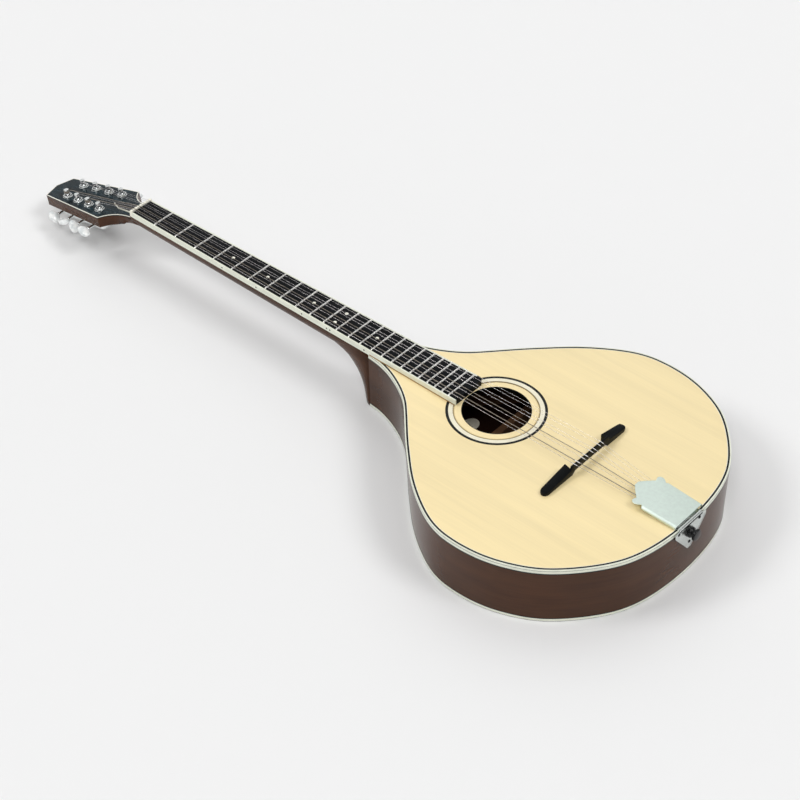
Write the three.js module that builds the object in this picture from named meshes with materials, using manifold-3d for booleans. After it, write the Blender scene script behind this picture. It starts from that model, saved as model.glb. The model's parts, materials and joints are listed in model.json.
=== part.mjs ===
// An Irish bouzouki with a flat spruce top, a teardrop body and eight strings in four pairs.
// Units are millimetres and +Z is up. The instrument lies on its flat back with its head towards +Y.
// Lengths along the neck are measured from the front face of the nut, where y is zero,
// and the finished group is then shifted so that the origin is at the middle of its footprint.

import * as THREE from 'three';
import { mergeVertices } from 'three/addons/utils/BufferGeometryUtils.js';
import manifoldModule from 'manifold-3d';

const wasm = await manifoldModule();
wasm.setup();

// Driving sizes of the body
const bodyLength = 416.3;
const bodyHalfWidth = 177.9;
const bodyDepth = 75.2;
const topThickness = 3;
const backThickness = 2.8;
const sideThickness = 2.4;
const bindingWidth = 2.4;
const topBindingHeight = 6.3;
const backBindingHeight = 5;
const purflingWidth = 0.9;
const liningWidth = 6;
const liningHeight = 12;
const neckBlockLength = 43;
const tailBlockLength = 20;
const tailBlockHalfWidth = 32;
const braceWidth = 8;
const braceHeight = 13;
const braceEndHeight = 4;
const braceEndLength = 22;
const glueGap = 0.15;

// Sound hole and the ring inlaid round it
const holeRadius = 37;
const holeFromJoin = 163.7;
const rosetteInnerRadius = 44.9;
const rosetteOuterRadius = 53.9;
const rosetteDepth = 1;
const rosetteClearance = 0.1;

// Neck and fingerboard
const scaleLength = 660;
const fretCount = 24;
const bodyJoinShare = 19 / 33;
const boardRiseAtNut = 3.9;
const boardRiseAtLastFret = 7.15;
const boardThickness = 6.2;
const boardHalfAtNut = 14.4;
const boardHalfAtLastFret = 21.2;
const boardBindingWidth = 2;
const boardOverhang = 11;
const fretWidth = 2.2;
const fretHeight = 1;
const fretCrownWidth = 1;
const fretBedding = 0.3;
const neckDepthAtNut = 14.5;
const neckDepthAtBody = 20.2;
const heelLift = 0.8;
const heelLength = 150;
const neckRoundness = 2.6;
const tenonHalfWidth = 11;
const tenonLength = 14;
const tenonHeight = 52;
const tenonClearance = 0.3;

// Nut
const nutThickness = 3.4;
const nutHeight = 7.9;
const nutPairSpread = 10.98;
const nutInnerPairSpread = 3.7;
const nutPairGap = 2.6;
const slotClearance = 0.3;
const slotFallShare = 0.28;

// Truss rod
const rodWidth = 5;
const rodHeight = 5.5;
const rodDrop = 4.5;
const rodReach = 9;
const rodClearance = 0.4;
const rodCavityLength = 32;
const rodEndMargin = 8;

// Headstock, in its own tilted frame: s runs along the face from the nut, and the face is at zero height
const headTiltDegrees = 12.8;
const headFaceDrop = 4.1;
const headThickness = 13.5;
const veneerThickness = 1.5;
const headBindingWidth = 1;
const headNeckHalf = 15;
const headNeckEnd = 12;
const headShoulderHalf = 33.8;
const headShoulderFromNut = 44.5;
const headEndHalf = 22.4;
const headEndFromNut = 155.2;
const headTipFromNut = 162.5;
const headCurvePull = 10.5;
const headRootLength = 29.7;
const headRootThinning = 2.2;
const coverHalfWidth = 8.4;
const coverLength = 46.8;
const coverThickness = 2;
const coverGap = 0.3;

// Machine heads
const tunerCount = 4;
const tunerFromNut = 57.9;
const tunerPitch = 22.1;
const tunerHalfAtNut = 18.4;
const tunerHalfAtEnd = 13;
const postHeight = 9.8;
const postRadius = 3.1;
const postWaistRadius = 2.3;
const postShaftRadius = 2.6;
const postCapHeight = 1.4;
const bushingHeight = 2.6;
const bushingRadius = 5.7;
const washerRadius = 6.2;
const washerThickness = 0.6;
const tubeRadius = 4;
const runningGap = 0.35;
const housingDepth = 9;
const housingHalfWidth = 6.8;
const housingWall = 1.3;
const gearRadius = 5;
const gearThickness = 3.4;
const wormRadius = 1.7;
const buttonHalfAcross = 8.2;
const buttonHalfAlong = 6;
const buttonHalfThickness = 3.2;
const buttonNeckRadius = 2.4;
const buttonNeckLength = 1.2;
const buttonReachAtNut = 11.5;
const buttonReachAtEnd = 10;

// Bridge
const bridgeSetback = 4.9;
const bridgeFootWidth = 9.6;
const bridgeHeight = 12.1;
const bridgeFrontHeight = 7.5;
const bridgeEndHeight = 4.2;
const bridgeTipWidth = 3;
const bridgeTipHeight = 3.4;
const bridgeTipLength = 5;
const bridgeWings = {
  bass: { turn: -1, notch: 26.6, reach: 69.3, height: 10.8 },
  treble: { turn: 1, notch: 33, reach: 65.3, height: 9.8 },
};
const saddleThickness = 2.2;
const archEndInset = 5;
const archHeight = 4;
const bridgePairSpread = 19.6;
const bridgeInnerPairSpread = 6.7;
const bridgePairGap = 4.9;
const stringSeat = 0.1;

// Strings, bass side first: each pair has a thick string, or two alike
const stringRadii = [0.25, 0.55, 0.2, 0.42, 0.22, 0.22, 0.16, 0.16];
const plainStringLimit = 0.4;
const stringTurns = [2, 2, 2, 2, 2, 2, 2, 2];
const stringSides = 6;
const stepsPerTurn = 24;
const turnGap = 0.45;

// Tailpiece and strap button
const tailBaseThickness = 1.2;
const tailBaseHalfWidth = 19;
const tailBaseOffset = -2.2;
const tailBaseLength = 34;
const bracketDrop = 34.4;
const bracketHalfWidth = 25.3;
const bracketTipHalf = 2.8;
const bracketShoulder = 6;
const tailSlotHalf = 17;
const tailSlotWidth = 1.6;
const hookPitch = 3.6;
const hookWidth = 1.6;
const hookHeight = 2.8;
const hookFromTail = 23.8;
const capTilt = 3.1;
const capLength = 66;
const capHalfWidth = 23.5;
const capThickness = 0.9;
const capHeight = 5.4;
const capSkirtHeight = 4.8;
const capSkirtLength = 42;
const pinDrop = 13;
const pinRadius = 3.4;
const pinCollarRadius = 6;
const pinNeckRadius = 4;
const pinFlangeRadius = 6.6;
const pinStandoff = 8.6;
const pinCollarThickness = 2;
const pinFlangeThickness = 3;
const pinFlangeSlope = 0.6;
const pinLength = 30;

// Fineness of the curved shapes
const outlineSteps = 34;
const roundSides = 12;
const gearSides = 10;
const holeSides = 36;
const neckSectionSteps = 14;
const heelSteps = 14;
const overrun = 2;

// Places that follow from the driving sizes
const bodyJoinFromNut = scaleLength * bodyJoinShare;
const lengthFromNut = bodyJoinFromNut + bodyLength;
const joinY = -bodyJoinFromNut;
const tailY = -lengthFromNut;
const holeFromNut = bodyJoinFromNut + holeFromJoin;
const boardTopAtNut = bodyDepth + boardRiseAtNut;
const boardTopAtLastFret = bodyDepth + boardRiseAtLastFret;
const headFaceAtNut = bodyDepth - headFaceDrop;
const fretPlace = (n) => scaleLength * (1 - 2 ** (-n / 12));
const lastFret = fretPlace(fretCount);
const boardEnd = lastFret + boardOverhang;
const boardTopAt = (y) => boardTopAtNut + (boardTopAtLastFret - boardTopAtNut) * (-y / lastFret);
const boardHalfAt = (y) => boardHalfAtNut + (boardHalfAtLastFret - boardHalfAtNut) * (-y / lastFret);
const neckTopAtNut = boardTopAtNut - boardThickness;
const neckTopAt = (y) => neckTopAtNut + (bodyDepth - neckTopAtNut) * Math.min(-y / bodyJoinFromNut, 1);
const neckHalfAt = (y) => boardHalfAt(y) + boardBindingWidth;
const headTilt = THREE.MathUtils.degToRad(-headTiltDegrees);
const neckLedgeEnd = nutThickness + coverGap;
const veneerLean = veneerThickness * Math.sin(-headTilt);
const headFaceStart = (neckLedgeEnd + coverGap + veneerLean) / Math.cos(headTilt);
const topUnderside = bodyDepth - topThickness;
const bridgeFromNut = scaleLength + bridgeSetback;
const bridgeY = -bridgeFromNut;
const hookY = tailY + hookFromTail;
const hookZ = bodyDepth + tailBaseThickness + hookHeight / 2;
const pinZ = bodyDepth - pinDrop;

// Geometry helpers

function closedGeometry(positions, triangles) {
  const geometry = new THREE.BufferGeometry();
  geometry.setAttribute('position', new THREE.Float32BufferAttribute(positions, 3));
  geometry.setIndex(triangles);
  return geometry;
}

// Merges shared corners and drops the empty triangles at a pole
function welded(geometry) {
  const bare = geometry.clone();
  bare.deleteAttribute('normal');
  bare.deleteAttribute('uv');
  const merged = mergeVertices(bare, 1e-4);
  const index = merged.index.array;
  const kept = [];
  for (let i = 0; i < index.length; i += 3) {
    const [a, b, c] = [index[i], index[i + 1], index[i + 2]];
    if (a !== b && b !== c && c !== a) kept.push(a, b, c);
  }
  return closedGeometry(Array.from(merged.attributes.position.array), kept);
}

function toSolid(geometry) {
  const bare = welded(geometry);
  const vertProperties = new Float32Array(bare.attributes.position.array);
  const triVerts = new Uint32Array(bare.index.array);
  return new wasm.Manifold(new wasm.Mesh({ numProp: 3, vertProperties, triVerts }));
}

function fromSolid(solid) {
  const mesh = solid.getMesh();
  return closedGeometry(Array.from(mesh.vertProperties), Array.from(mesh.triVerts));
}

function join(first, ...others) {
  return fromSolid(others.reduce((solid, other) => solid.add(toSolid(other)), toSolid(first)));
}

function cut(first, ...others) {
  return fromSolid(others.reduce((solid, other) => solid.subtract(toSolid(other)), toSolid(first)));
}

function shared(first, second) {
  return fromSolid(toSolid(first).intersect(toSolid(second)));
}

function prism(points, low, high) {
  const shape = new THREE.Shape(points);
  const geometry = new THREE.ExtrudeGeometry(shape, { depth: high - low, bevelEnabled: false });
  return geometry.translate(0, 0, low);
}

function block(lowX, highX, lowY, highY, lowZ, highZ) {
  const geometry = new THREE.BoxGeometry(highX - lowX, highY - lowY, highZ - lowZ);
  return geometry.translate((lowX + highX) / 2, (lowY + highY) / 2, (lowZ + highZ) / 2);
}

// A cylinder that stands along z
function rod(radius, low, high, sides = roundSides) {
  const geometry = new THREE.CylinderGeometry(radius, radius, high - low, sides);
  return geometry.rotateX(Math.PI / 2).translate(0, 0, (low + high) / 2);
}

// Turns a profile of radius and height round the z axis
function turned(profile, sides = roundSides) {
  const points = profile.map(([radius, height]) => new THREE.Vector2(radius, height));
  return new THREE.LatheGeometry(points, sides).rotateX(Math.PI / 2);
}

// Skins a row of sections that have the same number of corners, and caps both ends
function loft(sections) {
  const count = sections[0].length;
  const positions = sections.flat().flatMap((point) => [point.x, point.y, point.z]);
  const triangles = [];
  for (let row = 0; row + 1 < sections.length; row += 1) {
    for (let i = 0; i < count; i += 1) {
      const a = row * count + i;
      const b = row * count + ((i + 1) % count);
      triangles.push(a, b, b + count, a, b + count, a + count);
    }
  }
  const last = (sections.length - 1) * count;
  for (const [start, section] of [[0, sections[0]], [last, sections[sections.length - 1]]]) {
    for (const [a, b, c] of capTriangles(section)) {
      triangles.push(...(start === 0 ? [c, b, a] : [start + a, start + b, start + c]));
    }
  }
  return facingOut(closedGeometry(positions, triangles));
}

function capTriangles(section) {
  const normal = new THREE.Vector3();
  section.forEach((point, i) => {
    normal.add(new THREE.Vector3().crossVectors(point, section[(i + 1) % section.length]));
  });
  const across = new THREE.Vector3().subVectors(section[1], section[0]).normalize();
  const along = new THREE.Vector3().crossVectors(normal.normalize(), across);
  const flat = section.map((point) => new THREE.Vector2(point.dot(across), point.dot(along)));
  return THREE.ShapeUtils.triangulateShape(flat, []);
}

function facingOut(geometry) {
  const position = geometry.attributes.position;
  const index = geometry.index.array;
  const corner = (i) => new THREE.Vector3().fromBufferAttribute(position, index[i]);
  let volume = 0;
  for (let i = 0; i < index.length; i += 3) {
    volume += corner(i).dot(corner(i + 1).cross(corner(i + 2)));
  }
  if (volume < 0) {
    for (let i = 0; i < index.length; i += 3) [index[i], index[i + 1]] = [index[i + 1], index[i]];
  }
  return geometry;
}

const materials = {
  spruce: new THREE.MeshStandardMaterial({ color: '#f4dda6', roughness: 0.35, metalness: 0 }),
  mahogany: new THREE.MeshStandardMaterial({ color: '#4a2f24', roughness: 0.3, metalness: 0 }),
  innerWood: new THREE.MeshStandardMaterial({ color: '#c9a877', roughness: 0.7, metalness: 0 }),
  cream: new THREE.MeshStandardMaterial({ color: '#eee6cb', roughness: 0.35, metalness: 0 }),
  rosette: new THREE.MeshStandardMaterial({ color: '#d9d3bd', roughness: 0.4, metalness: 0 }),
  rosewood: new THREE.MeshStandardMaterial({ color: '#1d1a1b', roughness: 0.5, metalness: 0 }),
  blackFace: new THREE.MeshStandardMaterial({ color: '#141414', roughness: 0.25, metalness: 0 }),
  bone: new THREE.MeshStandardMaterial({ color: '#efeadb', roughness: 0.4, metalness: 0 }),
  nickel: new THREE.MeshStandardMaterial({ color: '#d3d6d6', roughness: 0.25, metalness: 1 }),
  steel: new THREE.MeshStandardMaterial({ color: '#c4c4c4', roughness: 0.3, metalness: 1 }),
  bronze: new THREE.MeshStandardMaterial({ color: '#b0814e', roughness: 0.35, metalness: 1 }),
  pearl: new THREE.MeshStandardMaterial({ color: '#f1f1ee', roughness: 0.25, metalness: 0 }),
  plastic: new THREE.MeshStandardMaterial({ color: '#101012', roughness: 0.3, metalness: 0 }),
};

const instrument = new THREE.Group();
const headstock = new THREE.Group();
headstock.position.set(0, 0, headFaceAtNut);
headstock.rotation.x = headTilt;
headstock.updateMatrix();
instrument.add(headstock);

function add(name, geometry, material, parent = instrument) {
  const mesh = new THREE.Mesh(welded(geometry), material);
  mesh.name = name;
  parent.add(mesh);
  return mesh;
}

// Body outline: distance from the neck joint as a share of the length, and half width as a share
const bodyOutlineShares = [
  [0, 0.12], [0.056, 0.139], [0.113, 0.189], [0.16, 0.25], [0.206, 0.337], [0.306, 0.581],
  [0.414, 0.809], [0.531, 0.967], [0.637, 0.998], [0.744, 0.951], [0.848, 0.82],
  [0.943, 0.57], [0.986, 0.328],
];

const bassOutline = bodyOutlineShares.map(
  ([along, wide]) => new THREE.Vector2(-wide * bodyHalfWidth, joinY - along * bodyLength),
);
const trebleOutline = bassOutline.map((point) => new THREE.Vector2(-point.x, point.y)).reverse();
const bodyCurve = new THREE.SplineCurve([
  ...bassOutline, new THREE.Vector2(0, tailY), ...trebleOutline,
]);

// The bass half of the outline, from the neck joint to the tail, moved inwards
function bassHalf(inset) {
  const points = [];
  for (let i = 0; i <= outlineSteps; i += 1) {
    const share = i / outlineSteps / 2;
    const point = bodyCurve.getPointAt(share);
    const tangent = bodyCurve.getTangentAt(share);
    points.push(new THREE.Vector2(point.x - tangent.y * inset, point.y + tangent.x * inset));
  }
  points[0].y = joinY;
  points[outlineSteps].set(0, tailY + inset);
  return points;
}

const mirrored = (points) => points.map((point) => new THREE.Vector2(-point.x, point.y));

function wholeOutline(inset) {
  const bass = bassHalf(inset);
  return [...bass, ...mirrored(bass).reverse().slice(1)];
}

// Half width of the body at a distance y, inside a given inset
function halfWidthAt(y, inset) {
  const points = bassHalf(inset);
  const next = points.findIndex((point) => point.y < y);
  const [above, below] = [points[next - 1], points[next]];
  const share = (y - above.y) / (below.y - above.y);
  return -(above.x + (below.x - above.x) * share);
}

const band = (outer, inner, low, high) => prism([...outer, ...[...inner].reverse()], low, high);

function pinHole(clearance) {
  const hole = rod(pinRadius + clearance, -overrun, pinLength + overrun);
  return hole.rotateX(Math.PI / 2).translate(tailBaseOffset, tailY + pinLength, pinZ);
}

// Plates, sides, bindings and linings

function soundboard() {
  const plate = prism(wholeOutline(bindingWidth + purflingWidth + glueGap), topUnderside, bodyDepth);
  const hole = rod(holeRadius, topUnderside - overrun, bodyDepth + overrun, holeSides);
  const grooveFloor = bodyDepth - rosetteDepth;
  const groove = ring(
    rosetteInnerRadius - rosetteClearance,
    rosetteOuterRadius + rosetteClearance,
    grooveFloor,
    bodyDepth + overrun,
  );
  return cut(plate, hole.translate(0, -holeFromNut, 0), groove.translate(0, -holeFromNut, 0));
}

function ring(inner, outer, low, high) {
  return turned([[inner, low], [outer, low], [outer, high], [inner, high], [inner, low]], holeSides);
}

function topBinding() {
  const outer = wholeOutline(0);
  const middle = wholeOutline(bindingWidth);
  const inner = wholeOutline(bindingWidth + purflingWidth);
  const low = bodyDepth - topBindingHeight;
  const rail = (points, z) => points.map((point) => new THREE.Vector3(point.x, point.y, z));
  return strip([
    rail(outer, low), rail(outer, bodyDepth), rail(inner, bodyDepth), rail(inner, topUnderside),
    rail(middle, topUnderside), rail(middle, low),
  ]);
}

// A strip with the given rails as its long edges
function strip(rails) {
  return loft(rails[0].map((_, i) => rails.map((points) => points[i])));
}

function side(turn) {
  const middleGap = glueGap / 2;
  const edge = (inset) => {
    const points = turn < 0 ? bassHalf(inset) : mirrored(bassHalf(inset));
    points[outlineSteps].x = turn * middleGap;
    return points;
  };
  const wall = band(edge(0), edge(sideThickness), backBindingHeight, bodyDepth - topBindingHeight);
  return cut(wall, pinHole(glueGap));
}

// A lining runs round the inside from one side of the neck block to the other
function lining(low, high) {
  const inset = sideThickness + glueGap;
  const whole = band(wholeOutline(inset), wholeOutline(inset + liningWidth), low, high);
  const blockEnd = joinY - neckBlockLength - glueGap;
  const room = block(
    -bodyHalfWidth, bodyHalfWidth, blockEnd, joinY + overrun, low - overrun, high + overrun,
  );
  return cut(whole, room, pinHole(glueGap));
}

function neckBlock() {
  const inside = prism(wholeOutline(sideThickness + glueGap), backThickness, topUnderside);
  const end = block(
    -bodyHalfWidth, bodyHalfWidth, joinY - neckBlockLength, joinY + overrun, 0, bodyDepth,
  );
  const mortise = block(
    -tenonHalfWidth - tenonClearance, tenonHalfWidth + tenonClearance,
    joinY - tenonLength - tenonClearance, joinY + overrun,
    topUnderside - tenonHeight - tenonClearance, topUnderside + overrun,
  );
  return cut(shared(inside, end), mortise);
}

function tailBlock() {
  const inset = sideThickness + liningWidth + 2 * glueGap;
  const inside = prism(wholeOutline(inset), backThickness, topUnderside);
  const end = block(
    -tailBlockHalfWidth, tailBlockHalfWidth, tailY, tailY + inset + tailBlockLength, 0, bodyDepth,
  );
  return cut(shared(inside, end), pinHole(glueGap));
}

// A brace is a bar across a plate that thins towards both ends
function brace(fromNut, seat, direction) {
  const reach = halfWidthAt(-fromNut, sideThickness + liningWidth + 2 * glueGap) - braceWidth;
  const full = seat + direction * braceHeight;
  const thin = seat + direction * braceEndHeight;
  const profile = [
    [-reach, seat], [reach, seat], [reach, thin], [reach - braceEndLength, full],
    [braceEndLength - reach, full], [-reach, thin],
  ];
  const sections = [braceWidth / 2, -braceWidth / 2].map(
    (offset) => profile.map(([x, z]) => new THREE.Vector3(x, offset - fromNut, z)),
  );
  return loft(sections);
}

const upperBraceFromNut = holeFromNut - rosetteOuterRadius - braceWidth;
const lowerBraceFromNut = holeFromNut + rosetteOuterRadius + braceWidth;
const backUpperBraceFromNut = holeFromNut - holeRadius / 2;
const backLowerBraceFromNut = bridgeFromNut + braceWidth;
const backPlateInset = bindingWidth + glueGap;

add('soundboard', soundboard(), materials.spruce);
add('back_plate', prism(wholeOutline(backPlateInset), 0, backThickness), materials.mahogany);
add('side_bass', side(-1), materials.mahogany);
add('side_treble', side(1), materials.mahogany);
add('top_binding', topBinding(), materials.cream);
const backRail = band(wholeOutline(0), wholeOutline(bindingWidth), 0, backBindingHeight);
add('back_binding', backRail, materials.cream);
add('top_lining', lining(topUnderside - liningHeight, topUnderside), materials.innerWood);
add('back_lining', lining(backThickness, backThickness + liningHeight), materials.innerWood);
add('neck_block', neckBlock(), materials.innerWood);
add('tail_block', tailBlock(), materials.innerWood);
add('top_brace_upper', brace(upperBraceFromNut, topUnderside, -1), materials.innerWood);
add('top_brace_lower', brace(lowerBraceFromNut, topUnderside, -1), materials.innerWood);
add('back_brace_upper', brace(backUpperBraceFromNut, backThickness, 1), materials.innerWood);
add('back_brace_lower', brace(backLowerBraceFromNut, backThickness, 1), materials.innerWood);
add('rosette', ring(rosetteInnerRadius, rosetteOuterRadius, bodyDepth - rosetteDepth, bodyDepth)
  .translate(0, -holeFromNut, 0), materials.rosette);

// Headstock outline, bass side first, from the neck to the tip
function headHalf(inset) {
  const shoulder = new THREE.QuadraticBezierCurve(
    new THREE.Vector2(-headNeckHalf, headNeckEnd),
    new THREE.Vector2(-(headNeckHalf + headBindingWidth), headShoulderFromNut - headCurvePull),
    new THREE.Vector2(-headShoulderHalf, headShoulderFromNut),
  );
  const points = [
    new THREE.Vector2(-headNeckHalf, headFaceStart),
    ...shoulder.getPoints(roundSides / 2),
    new THREE.Vector2(-headEndHalf, headEndFromNut),
    new THREE.Vector2(0, headTipFromNut),
  ];
  return points.map((point, i) => insetCorner(points, i, inset));
}

// Moves a corner of an open outline inwards by the same amount on both of its edges
function insetCorner(points, i, inset) {
  const point = points[i];
  const before = points[i - 1] ?? point;
  const after = points[i + 1] ?? new THREE.Vector2(-before.x, before.y);
  const edgeNormal = (a, b) => new THREE.Vector2(b.y - a.y, a.x - b.x).normalize();
  if (before === point) {
    return new THREE.Vector2(point.x + inset, point.y);
  }
  const [first, second] = [edgeNormal(before, point), edgeNormal(point, after)];
  const bisector = first.clone().add(second).normalize();
  return point.clone().addScaledVector(bisector, inset / bisector.dot(second));
}

const headOutline = (inset) => {
  const bass = headHalf(inset);
  return [...bass, ...mirrored(bass).reverse().slice(1)];
};

// Places of the machine heads on the face, in the headstock's frame; k counts from the nut
function tunerPlace(k, turn) {
  const share = k / (tunerCount - 1);
  const half = tunerHalfAtNut + (tunerHalfAtEnd - tunerHalfAtNut) * share;
  return new THREE.Vector2(turn * half, tunerFromNut + tunerPitch * k);
}

const tuners = [-1, 1].flatMap(
  (turn) => Array.from({ length: tunerCount }, (_, k) => ({ turn, k, place: tunerPlace(k, turn) })),
);

const tunerHoles = (low, high) => tuners.map(
  ({ place }) => rod(tubeRadius + slotClearance, low, high).translate(place.x, place.y, 0),
);

function headVeneer() {
  const plate = prism(headOutline(headBindingWidth + glueGap), -veneerThickness, 0);
  const cavity = block(
    -rodWidth, rodWidth, 0, nutThickness + rodCavityLength, -veneerThickness - overrun, overrun,
  );
  return cut(plate, cavity, ...tunerHoles(-veneerThickness - overrun, overrun));
}

const headBinding = () => band(headOutline(0), headOutline(headBindingWidth), -veneerThickness, 0);

// The neck's section is flat on top and round below: a superellipse of the given width and depth
function neckSection(half, depth, power, place) {
  const points = [];
  for (let i = 0; i <= neckSectionSteps; i += 1) {
    const angle = (Math.PI * i) / neckSectionSteps;
    const across = Math.sign(Math.cos(angle)) * Math.abs(Math.cos(angle)) ** (2 / power);
    points.push(place(-half * across, -depth * Math.sin(angle) ** (2 / power)));
  }
  return points;
}

function neckShaft() {
  const ends = [
    [neckLedgeEnd, neckDepthAtNut], [0, neckDepthAtNut], [joinY + glueGap, neckDepthAtBody],
  ];
  return loft(ends.map(([y, depth]) => {
    const top = neckTopAt(Math.min(y, 0)) - glueGap;
    const half = neckHalfAt(Math.min(y, 0)) - glueGap;
    return neckSection(half, depth - glueGap, neckRoundness, (x, z) => new THREE.Vector3(x, y, top + z));
  }));
}

// Heel from its foot up to the neck: height as a share, and reach along the neck as a share
const heelNoseShares = [
  [0, 0.095], [0.073, 0.108], [0.157, 0.116], [0.269, 0.132], [0.381, 0.158], [0.465, 0.189],
  [0.549, 0.225], [0.619, 0.27], [0.675, 0.31], [0.731, 0.36], [0.794, 0.455], [0.857, 0.633],
  [0.927, 0.833], [1, 1],
];

// Each level of the heel is half an ellipse, as wide as the body where they meet
function heel() {
  const half = bodyOutlineShares[0][1] * bodyHalfWidth;
  const height = topUnderside - heelLift;
  return loft(heelNoseShares.map(([up, along]) => Array.from({ length: heelSteps + 1 }, (_, i) => {
    const angle = (Math.PI * i) / heelSteps;
    return new THREE.Vector3(
      -half * Math.cos(angle),
      joinY + glueGap + along * heelLength * Math.sin(angle),
      heelLift + up * height,
    );
  })));
}

// Carved change from the round neck to the flat back of the headstock: place along it, then depth
// and half width as shares of the headstock's, and roundness
const headRootShares = [
  [-0.17, 1.05, 1.06, 2.6], [0.12, 1, 1.04, 2.8], [0.4, 1, 1.02, 3.2], [0.75, 1, 1.08, 5], [1, 1, 1.2, 12],
];

function headRoot() {
  const wood = headThickness - veneerThickness - glueGap;
  const sections = headRootShares.map(([along, deep, wide, power]) => neckSection(
    headNeckHalf * wide, wood * deep, power,
    (x, z) => new THREE.Vector3(x, along * headRootLength, z - veneerThickness - glueGap),
  ));
  return loft(sections).applyMatrix4(headstock.matrix);
}

// The slab thins towards the nut, so that its square edge runs out into the round of the root
function headSlab() {
  const start = headNeckEnd + headBindingWidth;
  const outline = headOutline(0).filter((point) => point.y > start);
  const plate = prism(outline, -headThickness, -veneerThickness - glueGap);
  const slope = headRootThinning / (headRootLength - start);
  const half = headShoulderHalf;
  const wedge = loft([start - overrun, headRootLength].map((s) => {
    const high = -headThickness + slope * (headRootLength - s);
    return [
      new THREE.Vector3(-half, s, high - headThickness), new THREE.Vector3(half, s, high - headThickness),
      new THREE.Vector3(half, s, high), new THREE.Vector3(-half, s, high),
    ];
  }));
  const holes = tunerHoles(-headThickness - overrun, overrun);
  return cut(plate, wedge, ...holes).applyMatrix4(headstock.matrix);
}

function rodChannel() {
  const half = rodWidth / 2 + rodClearance;
  const far = joinY + rodEndMargin - rodClearance;
  const sections = [nutThickness + rodCavityLength, 0, far].map((y) => {
    const top = neckTopAt(Math.min(y, 0));
    const floor = top - rodDrop - rodHeight - rodClearance;
    return [
      new THREE.Vector3(-half, y, floor), new THREE.Vector3(half, y, floor),
      new THREE.Vector3(half, y, top + overrun), new THREE.Vector3(-half, y, top + overrun),
    ];
  });
  return loft(sections);
}

function tenon() {
  return block(
    -tenonHalfWidth, tenonHalfWidth, joinY - tenonLength, joinY + overrun,
    topUnderside - tenonHeight, topUnderside - glueGap,
  );
}

function trussRod() {
  const half = rodWidth / 2;
  const sections = [rodReach, 0, joinY + rodEndMargin].map((y) => {
    const top = neckTopAt(Math.min(y, 0)) - rodDrop;
    return [
      new THREE.Vector3(-half, y, top - rodHeight), new THREE.Vector3(half, y, top - rodHeight),
      new THREE.Vector3(half, y, top), new THREE.Vector3(-half, y, top),
    ];
  });
  return loft(sections);
}

// The fingerboard thickens past the neck, where it lies on the soundboard
function boardSections(inner, outer) {
  return [0, joinY, -boardEnd].map((y) => {
    const [low, high] = [neckTopAt(y), boardTopAt(y)];
    return [
      new THREE.Vector3(inner(y), y, low), new THREE.Vector3(outer(y), y, low),
      new THREE.Vector3(outer(y), y, high), new THREE.Vector3(inner(y), y, high),
    ];
  });
}

function fret(n) {
  const y = -fretPlace(n);
  const base = boardTopAt(y) - fretBedding;
  const crown = boardTopAt(y) + fretHeight;
  const half = boardHalfAt(y) - glueGap;
  return loft([-half, half].map((x) => [
    new THREE.Vector3(x, y - fretWidth / 2, base), new THREE.Vector3(x, y + fretWidth / 2, base),
    new THREE.Vector3(x, y + fretCrownWidth / 2, crown),
    new THREE.Vector3(x, y - fretCrownWidth / 2, crown),
  ]));
}

function fingerboard() {
  const core = loft(boardSections((y) => -boardHalfAt(y), (y) => boardHalfAt(y)));
  const frets = Array.from({ length: fretCount }, (_, i) => fret(i + 1));
  return join(core, ...frets);
}

function boardBinding(turn) {
  const inner = (y) => turn * (boardHalfAt(y) + glueGap);
  const outer = (y) => turn * (boardHalfAt(y) + boardBindingWidth);
  return loft(boardSections(inner, outer));
}

// Strings: where each one crosses the nut, the bridge and the tailpiece
const pairCentres = (outer, inner) => [-outer, -inner, inner, outer];
const nutCentres = pairCentres(nutPairSpread, nutInnerPairSpread);
const bridgeCentres = pairCentres(bridgePairSpread, bridgeInnerPairSpread);
const strings = stringRadii.map((radius, i) => {
  const pair = Math.floor(i / 2);
  const turn = i % 2 === 0 ? -1 : 1;
  const onBass = i < tunerCount;
  return {
    radius,
    turns: stringTurns[i],
    nutX: nutCentres[pair] + (turn * nutPairGap) / 2,
    bridgeX: bridgeCentres[pair] + (turn * bridgePairGap) / 2,
    hookX: (i - (stringRadii.length - 1) / 2) * hookPitch,
    tuner: onBass ? { turn: -1, k: i } : { turn: 1, k: stringRadii.length - 1 - i },
  };
});
const nutTop = neckTopAtNut + nutHeight;
const bridgeTop = bodyDepth + bridgeHeight;

// Each slot reaches a little under its string, and its floor falls by the given share past its front
function stringSlots(places, front, back, top, fallShare) {
  return strings.map((string, i) => {
    const half = string.radius + slotClearance;
    const rows = [[front - overrun, 0], [front, 0], [back + overrun, fallShare * (back + overrun - front)]];
    return loft(rows.map(([y, fall]) => {
      const floor = top - half + stringSeat - fall;
      return [
        new THREE.Vector3(places[i] - half, y, floor), new THREE.Vector3(places[i] + half, y, floor),
        new THREE.Vector3(places[i] + half, y, top + overrun),
        new THREE.Vector3(places[i] - half, y, top + overrun),
      ];
    }));
  });
}

function nut() {
  const half = neckHalfAt(0);
  const body = block(-half, half, glueGap, nutThickness, neckTopAtNut, nutTop);
  const places = strings.map((string) => string.nutX);
  return cut(body, ...stringSlots(places, glueGap, nutThickness, nutTop, slotFallShare));
}

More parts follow.
